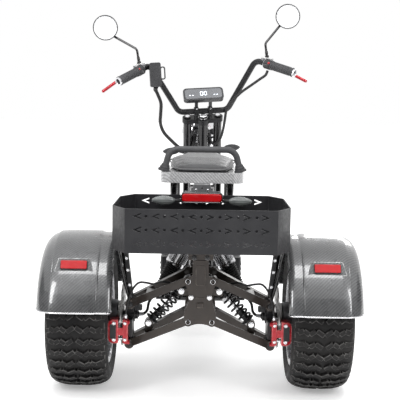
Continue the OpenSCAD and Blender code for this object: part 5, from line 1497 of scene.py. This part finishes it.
@dataclass
class Handlebar(Assembly):
    """The high handlebar with its grips, levers, controls, mirrors, display and cables."""

    body = Body.STEERING
    grip_start: float = 0.42
    perch_start: float = 0.3
    lever_root: Triple = (270.8, 910.3, 1093.4)
    tank_ends: tuple[Triple, Triple] = ((242.8, 886.3, 1107.4), (294.8, 886.3, 1097.4))

    def build(self) -> None:
        """Build the handlebar's pieces."""
        corners = ((104, 982.8, 904.8), (224, 904.8, 1108), (360, 789.8, 1046))
        sides = {s: self.steered(corners, s) for s in SIDES}
        bar = Shape.hose(filleted([*reversed(sides[-1]), *sides[1]], 34 * MM), 12.5, sides=6)
        self.show(bar, "handlebar_tube", SATIN_BLACK, DRAWN, "handlebar")
        self.grips(sides)
        self.levers()
        self.controls(sides)
        self.mirrors()
        self.display()
        self.rounded("handlebar_box", "control_box", BLACK_PLASTIC, 3, 36, 3)
        self.cables()

    def steered(self, points: Iterable[Point], sign: int) -> list[Vector]:
        """Give points drawn straight ahead, on the side of sign, at the parked steering angle."""
        return [self.layout.steer(sign * x, y, z) for x, y, z in points]

    def grips(self, sides: dict[int, list[Vector]]) -> None:
        """Build the ribbed grips and their bright end rings on the handlebar's corners."""
        cap = [(9, -6), (12.6, -6), (12.6, -2), (16.4, -2), (17.4, 0), (16.4, 5.6), (12, 6), (10.4, 4),
               (9, -4)]
        grips, ends, rib = Shape(), Shape(), 6
        for _, top, end in sides.values():
            start = top.lerp(end, self.grip_start)
            length = (end - start).length / MM
            lay = unit_to(end - start, start)
            profile = [(12.7, 1), (20, 1), (20, 6), (17.4, 7)]
            for k in range(int((length - 22) / rib)):
                z = 9 + k * rib
                profile += [(17.2, z), (18.6, z + 1), (18.6, z + 3.8), (17.2, z + 4.8)]
            profile += [(17.4, length - 9), (19, length - 8), (19, length - 2), (12.7, length - 2)]
            grips.add(Shape.turned(profile, 40, closed=True).at(lay))
            ends.add(Shape.turned([(r, length + z) for r, z in cap], 40, closed=True).at(lay))
        self.show(grips, "grip_sleeves", GRIP, CAST, "grips")
        self.show(ends, "grip_ends", POLISHED, TURNED)

    def levers(self) -> None:
        """Build the brake levers with their ball ends and pivots."""
        ball = [(0, -7), (4.5, -5.6), (7, 0), (4.5, 5.6), (0, 7)]
        red, bright, dark = Shape(), Shape(), Shape()
        for s in SIDES:
            line = self.steered((self.lever_root, (304.8, 918.3, 1085.4), (424, 858, 1010)), s)
            root, tip = Matrix.Translation(line[0]), Matrix.Translation(line[-1])
            red.add(Shape.hose(filleted(line, 20 * MM), 6.6, sides=5), Shape.turned(ball, 24).at(tip))
            bright.add(Shape.drum(6, 14, 1, 24).at(root, shift(z=-7)))
            dark.add(Shape.drum(8.6, 4, 0.8, 24).at(root, shift(z=-10)))
        self.show(red, "lever_blades", RED_METAL, TURNED, "brake_levers")
        self.show(bright, "lever_pivots", POLISHED, CAST)
        self.show(dark, "lever_washers", SATIN_BLACK, CAST)

    def controls(self, sides: dict[int, list[Vector]]) -> None:
        """Build the switch pods, the lever perches and the fluid tanks on the handlebar's corners."""
        pods, bright, tanks, red, lids, windows = (Shape() for _ in range(6))
        pod = [(12.8, 1), (19, 1), (21, 3), (21, 13), (20.2, 14), (20.2, 16), (21, 17), (21, 28), (19, 31),
               (12.8, 31)]
        for s, (_, top, end) in sides.items():
            start, perch = top.lerp(end, self.grip_start), top.lerp(end, self.perch_start)
            along = (end - top).normalized()
            pods.add(Shape.turned(pod, 40, closed=True).at(unit_to(along, start), shift(z=-32)))
            face = Matrix.Translation(start - along * 0.016 + Vector((0, -0.019, 0.004)))
            red.add(Shape.drum(5.4, 5, 1.2, 24, 4.8).at(face, BACK))
            pods.add(Shape.block((13, 5, 8), 1.4).at(face, shift(-13 * s, 1, -9)))
            root, low, high = self.steered((self.lever_root, *self.tank_ends), s)
            bright.add(collar(12.8, 18.4, 11, 36).at(unit_to(along, perch)),
                       Shape.block((17, 19, 24), 3).at(unit_to(root - perch, perch), shift(z=27)))
            middle = low.lerp(high, 0.5)
            tank = unit_to(high - low, middle)
            tanks.add(Shape.block((22, 19, 51), 4, 3).at(tank))
            lids.add(Shape.block((23, 3.4, 52), 1.3).at(tank, shift(y=10.6)))
            windows.add(Shape.drum(5.5, 2.4, 0.7, 24).at(Matrix.Translation(middle), shift(y=-10.5), BACK))
            bright.add(*(bolt_head(2.6, 1.6, 1.2).at(tank, shift(0, 12.2, z), AHEAD) for z in (-20, 20)))
        self.show(pods, "control_pods", BLACK_PLASTIC, 36, "hand_controls")
        for shape, name, finish in (
                (bright, "lever_perches", POLISHED), (tanks, "fluid_tanks", GREY_METAL),
                (red, "control_buttons", RED_METAL), (lids, "tank_lids", WHITE_LID),
                (windows, "tank_windows", AMBER_LENS)):
            self.show(shape, name, finish, 36)

    def mirrors(self) -> None:
        """Build the round mirrors with their glass, rims and bent stems."""
        case = [(0, -10), (34, -10), (46, -7), (51, -1), (52, 4), (51.4, 9), (50, 9.6), (48.6, 8), (48, 5),
                (0, 5)]
        pane = [(0, 4.6), (48.2, 4.6), (48.2, 6), (47, 7), (0, 7.6)]
        ball = [(0, -9), (5, -7.5), (8.4, -3), (8.4, 3), (5, 7.5), (0, 9)]
        cases, glass, stems = Shape(), Shape(), Shape()
        for s, (x, y, z), lean in ((-1, (398, 915, 1270), 6), (1, (368, 900, 1284), -4)):
            lay = Matrix.Translation(self.layout.steer(s * x, y, z)) @ turn(96, "X")
            cases.add(Shape.turned(case, 72).at(lay))
            glass.add(Shape.turned(pane, 72).at(lay))
            route = [(268.8, 884.3, 1115), (268.8 + lean, 888.3, 1175), (x - 30, y + 16, z - 34),
                     (x, y + 14, z)]
            line = filleted(self.steered(route, s), 18 * MM)
            foot = unit_to(line[1] - line[0], line[0])
            stems.add(Shape.hose(line, 5, sides=4), hex_nut(9, 10).at(foot),
                      Shape.turned(ball, 24).at(Matrix.Translation(line[-1]), BACK),
                      Shape.drum(7, 16, 1, 6).at(foot, shift(z=12)))
        self.show(cases, "mirror_cases", BLACK_PLASTIC, 36, "mirrors")
        self.show(glass, "mirror_faces", MIRROR, TURNED)
        self.show(stems, "mirror_stems", GLOSS_BLACK, TURNED)

    def display(self) -> None:
        """Build the display's case, bright screen, digits and markers."""
        lay = self.layout.fork @ shift(0, 6, 110) @ turn(27, "X")
        self.rounded("display", "display_case", GLOSS_PLASTIC, 1.4, 36, 2, 50)
        screen = Shape.slab(rounded_outline(158, 48, 12), 2.2, 0.8).at(lay, shift(z=10))
        self.show(screen, "display_screen", SCREEN, 36)
        bars = [(0, s * 9, 0) for s in SIDES] + [(x, y, 90) for x in (-5, 5) for y in (-4.6, 4.6)]
        digits, face = Shape(), 11.9
        for digit in (-8, 8):
            for x, y, angle in bars:
                digits.add(Shape.slab(rounded_outline(7.6, 2, 0.9, 2), 0.8).at(
                    lay, shift(digit + x, y, face), turn(angle, "Z")))
        for x in (-58, -46, 46, 58):
            digits.add(Shape.slab(rounded_outline(6, 3, 1, 2), 0.8).at(lay, shift(x, -8, face)))
        self.show(digits, "display_digits", DIGITS, 36)

    def cables(self) -> None:
        """Run the smooth loom and the spiral-wrapped one from the handlebar to the headlamp."""
        left = [(-207, -34, 168), (-198, -42, 148), (-186, -47, 110), (-188, -52, 64), (-190, -56, 20),
                (-176, -56, -26), (-142, -50, -74), (-110, -39, -114), (-80, -24, -140), (-54, -6, -146),
                (-38, 16, -132), (-30, 31, -112), (-30, 43.2, -110)]
        right = [(266, -28, 228), (256, -37, 212), (232, -40, 196), (198, -36, 168), (158, -30, 134),
                 (122, -28, 94), (98, -24, 50), (92, -20, 0), (86, -18, -50), (74, -18, -95),
                 (52, -6, -128), (38, 16, -128), (30, 31, -112), (30, 43.2, -110)]
        smooth, wrapped = (
            flowing([self.layout.fork @ (Vector(p) * MM) for p in route]) for route in (left, right))
        foot = self.layout.steer(-206, 866, 1018)
        boot = [foot, foot.lerp(smooth[0], 0.6), smooth[0], smooth[2]]
        run = Shape.hose(smooth, 7, sides=4).add(Shape.hose(boot, 9.5, [1.1, 1, 0.95, 0.85], 4))
        self.show(run, "loom_run_left", RUBBER, DRAWN, "loom_left")
        self.show(Shape.hose(wrapped, 5.4), "loom_run_right", RUBBER, DRAWN, "loom_right")
        spiral = coiled(wrapped[:-4], 4.8 * MM, 8.5 * MM)
        self.show(Shape.hose(spiral, 1.3, sides=1), "loom_wrap_right", BLACK_PLASTIC, DRAWN)


# ---------- studio ----------


@dataclass
class Studio:
    """A pale seamless studio with soft lights and a camera behind the vehicle; lengths are metres."""

    layout: Layout
    back_off: float = 3.2
    height: float = 0.973
    lens: float = 87.3
    pitch: float = 83.82
    yaw: float = 0.106
    roll: float = 0.9
    aim_height: float = 0.6

    def build(self) -> None:
        """Set up the floor, the lights, the dark cards, the sky and the camera."""
        self.floor()
        for name, at, size, power in (
                ("key", (-2.3, -3.4, 2.7), (0.7, 2.0), 60),
                ("fill", (2.7, -3.2, 2.3), (0.7, 2.0), 45),
                ("top", (0.0, -1.6, 3.6), (2.6, 1.2), 70),
                ("front", (1.8, 4.2, 2.6), (2.4, 1.6), 60)):
            self.light(name, at, size, power)
        for name, at, size, heading in (
                ("behind", (0, -6.0, 2.3), (9.0, 3.9), 0),
                ("left", (-5.0, -1.5, 1.5), (6.0, 2.2), -90),
                ("right", (5.0, -1.5, 1.5), (6.0, 2.2), 90)):
            self.card(name, at, size, heading)
        world = bpy.data.worlds.new("studio_world")
        world.use_nodes = True
        background = world.node_tree.nodes["Background"]
        background.inputs["Color"].default_value = (1, 1, 1, 1)
        background.inputs["Strength"].default_value = 1.0
        bpy.context.scene.world = world
        bpy.context.scene.view_settings.view_transform = "Standard"
        self.camera()

    def floor(self) -> None:
        """Lay the plain floor."""
        bpy.ops.mesh.primitive_plane_add(size=60)
        floor = bpy.context.object
        floor.name = "studio_floor"
        graph = Graph("studio_floor_paint")
        tint = graph.blend(graph.noise(graph.place(), 0.6, 2), (0.93, 0.93, 0.93), (0.95, 0.95, 0.95))
        graph.feed(graph.shader, {
            "Base Color": tint, "Roughness": 0.9, "Emission Color": (1, 1, 1, 1), "Emission Strength": 0.32})
        floor.data.materials.append(graph.material)

    def hang(self, name: str, data: bpy.types.ID, place: Matrix) -> bpy.types.Object:
        """Put a light or a card into the scene as stage."""
        made = bpy.data.objects.new(name, data)
        made.matrix_world = place
        bpy.context.scene.collection.objects.link(made)
        return made

    def card(self, name: str, at: Point, size: Point, heading: float) -> None:
        """Stand a dark card out of sight that gives gloss its contrast, turned by heading degrees."""
        shape = Shape()
        place = chain(Matrix.Translation(at), turn(heading, "Z"), BACK, Matrix.Diagonal((*size, 1, 1)))
        bmesh.ops.create_grid(shape.bm, x_segments=1, y_segments=1, size=0.5, matrix=place)
        mesh = shape.release(f"card_{name}")
        mesh.materials.append(SATIN_BLACK.material())
        self.hang(mesh.name, mesh, Matrix()).visible_camera = False

    def light(self, name: str, at: Point, size: Point, power: float) -> None:
        """Hang a soft light of some watts that faces the vehicle."""
        data = bpy.data.lights.new(name, "AREA")
        data.shape = "RECTANGLE"
        data.size, data.size_y = size
        data.energy = power
        self.hang(name, data, unit_to(Vector(at) - Vector((0, 0, self.aim_height)), at))

    def camera(self) -> None:
        """Place the camera behind the vehicle, turned a little about its own line of sight."""
        data = bpy.data.cameras.new("camera")
        data.lens = self.lens
        camera = bpy.data.objects.new("camera", data)
        camera.matrix_world = chain(
            Matrix.Translation((0, self.layout.rear_y - self.back_off, self.height)),
            turn(self.yaw, "Z"), turn(self.pitch, "X"), turn(self.roll, "Z"))
        bpy.context.scene.collection.objects.link(camera)
        bpy.context.scene.camera = camera


def main() -> None:
    """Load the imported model, build every sub-assembly and the studio, and finish."""
    logging.basicConfig(level=logging.INFO, format="%(name)s: %(message)s")
    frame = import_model()
    layout = Layout(frame)
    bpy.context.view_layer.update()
    for side in Side:
        RearWheel(layout, side).build()
    for assembly in (RearSuspension, RearCalipers, RearFenders, Basket, TailLamps, SeatAndCowl, ChassisFrame,
                     FrontEnd, Handlebar):
        assembly(layout).build()
    Studio(layout).build()


if __name__ == "__main__":
    main()
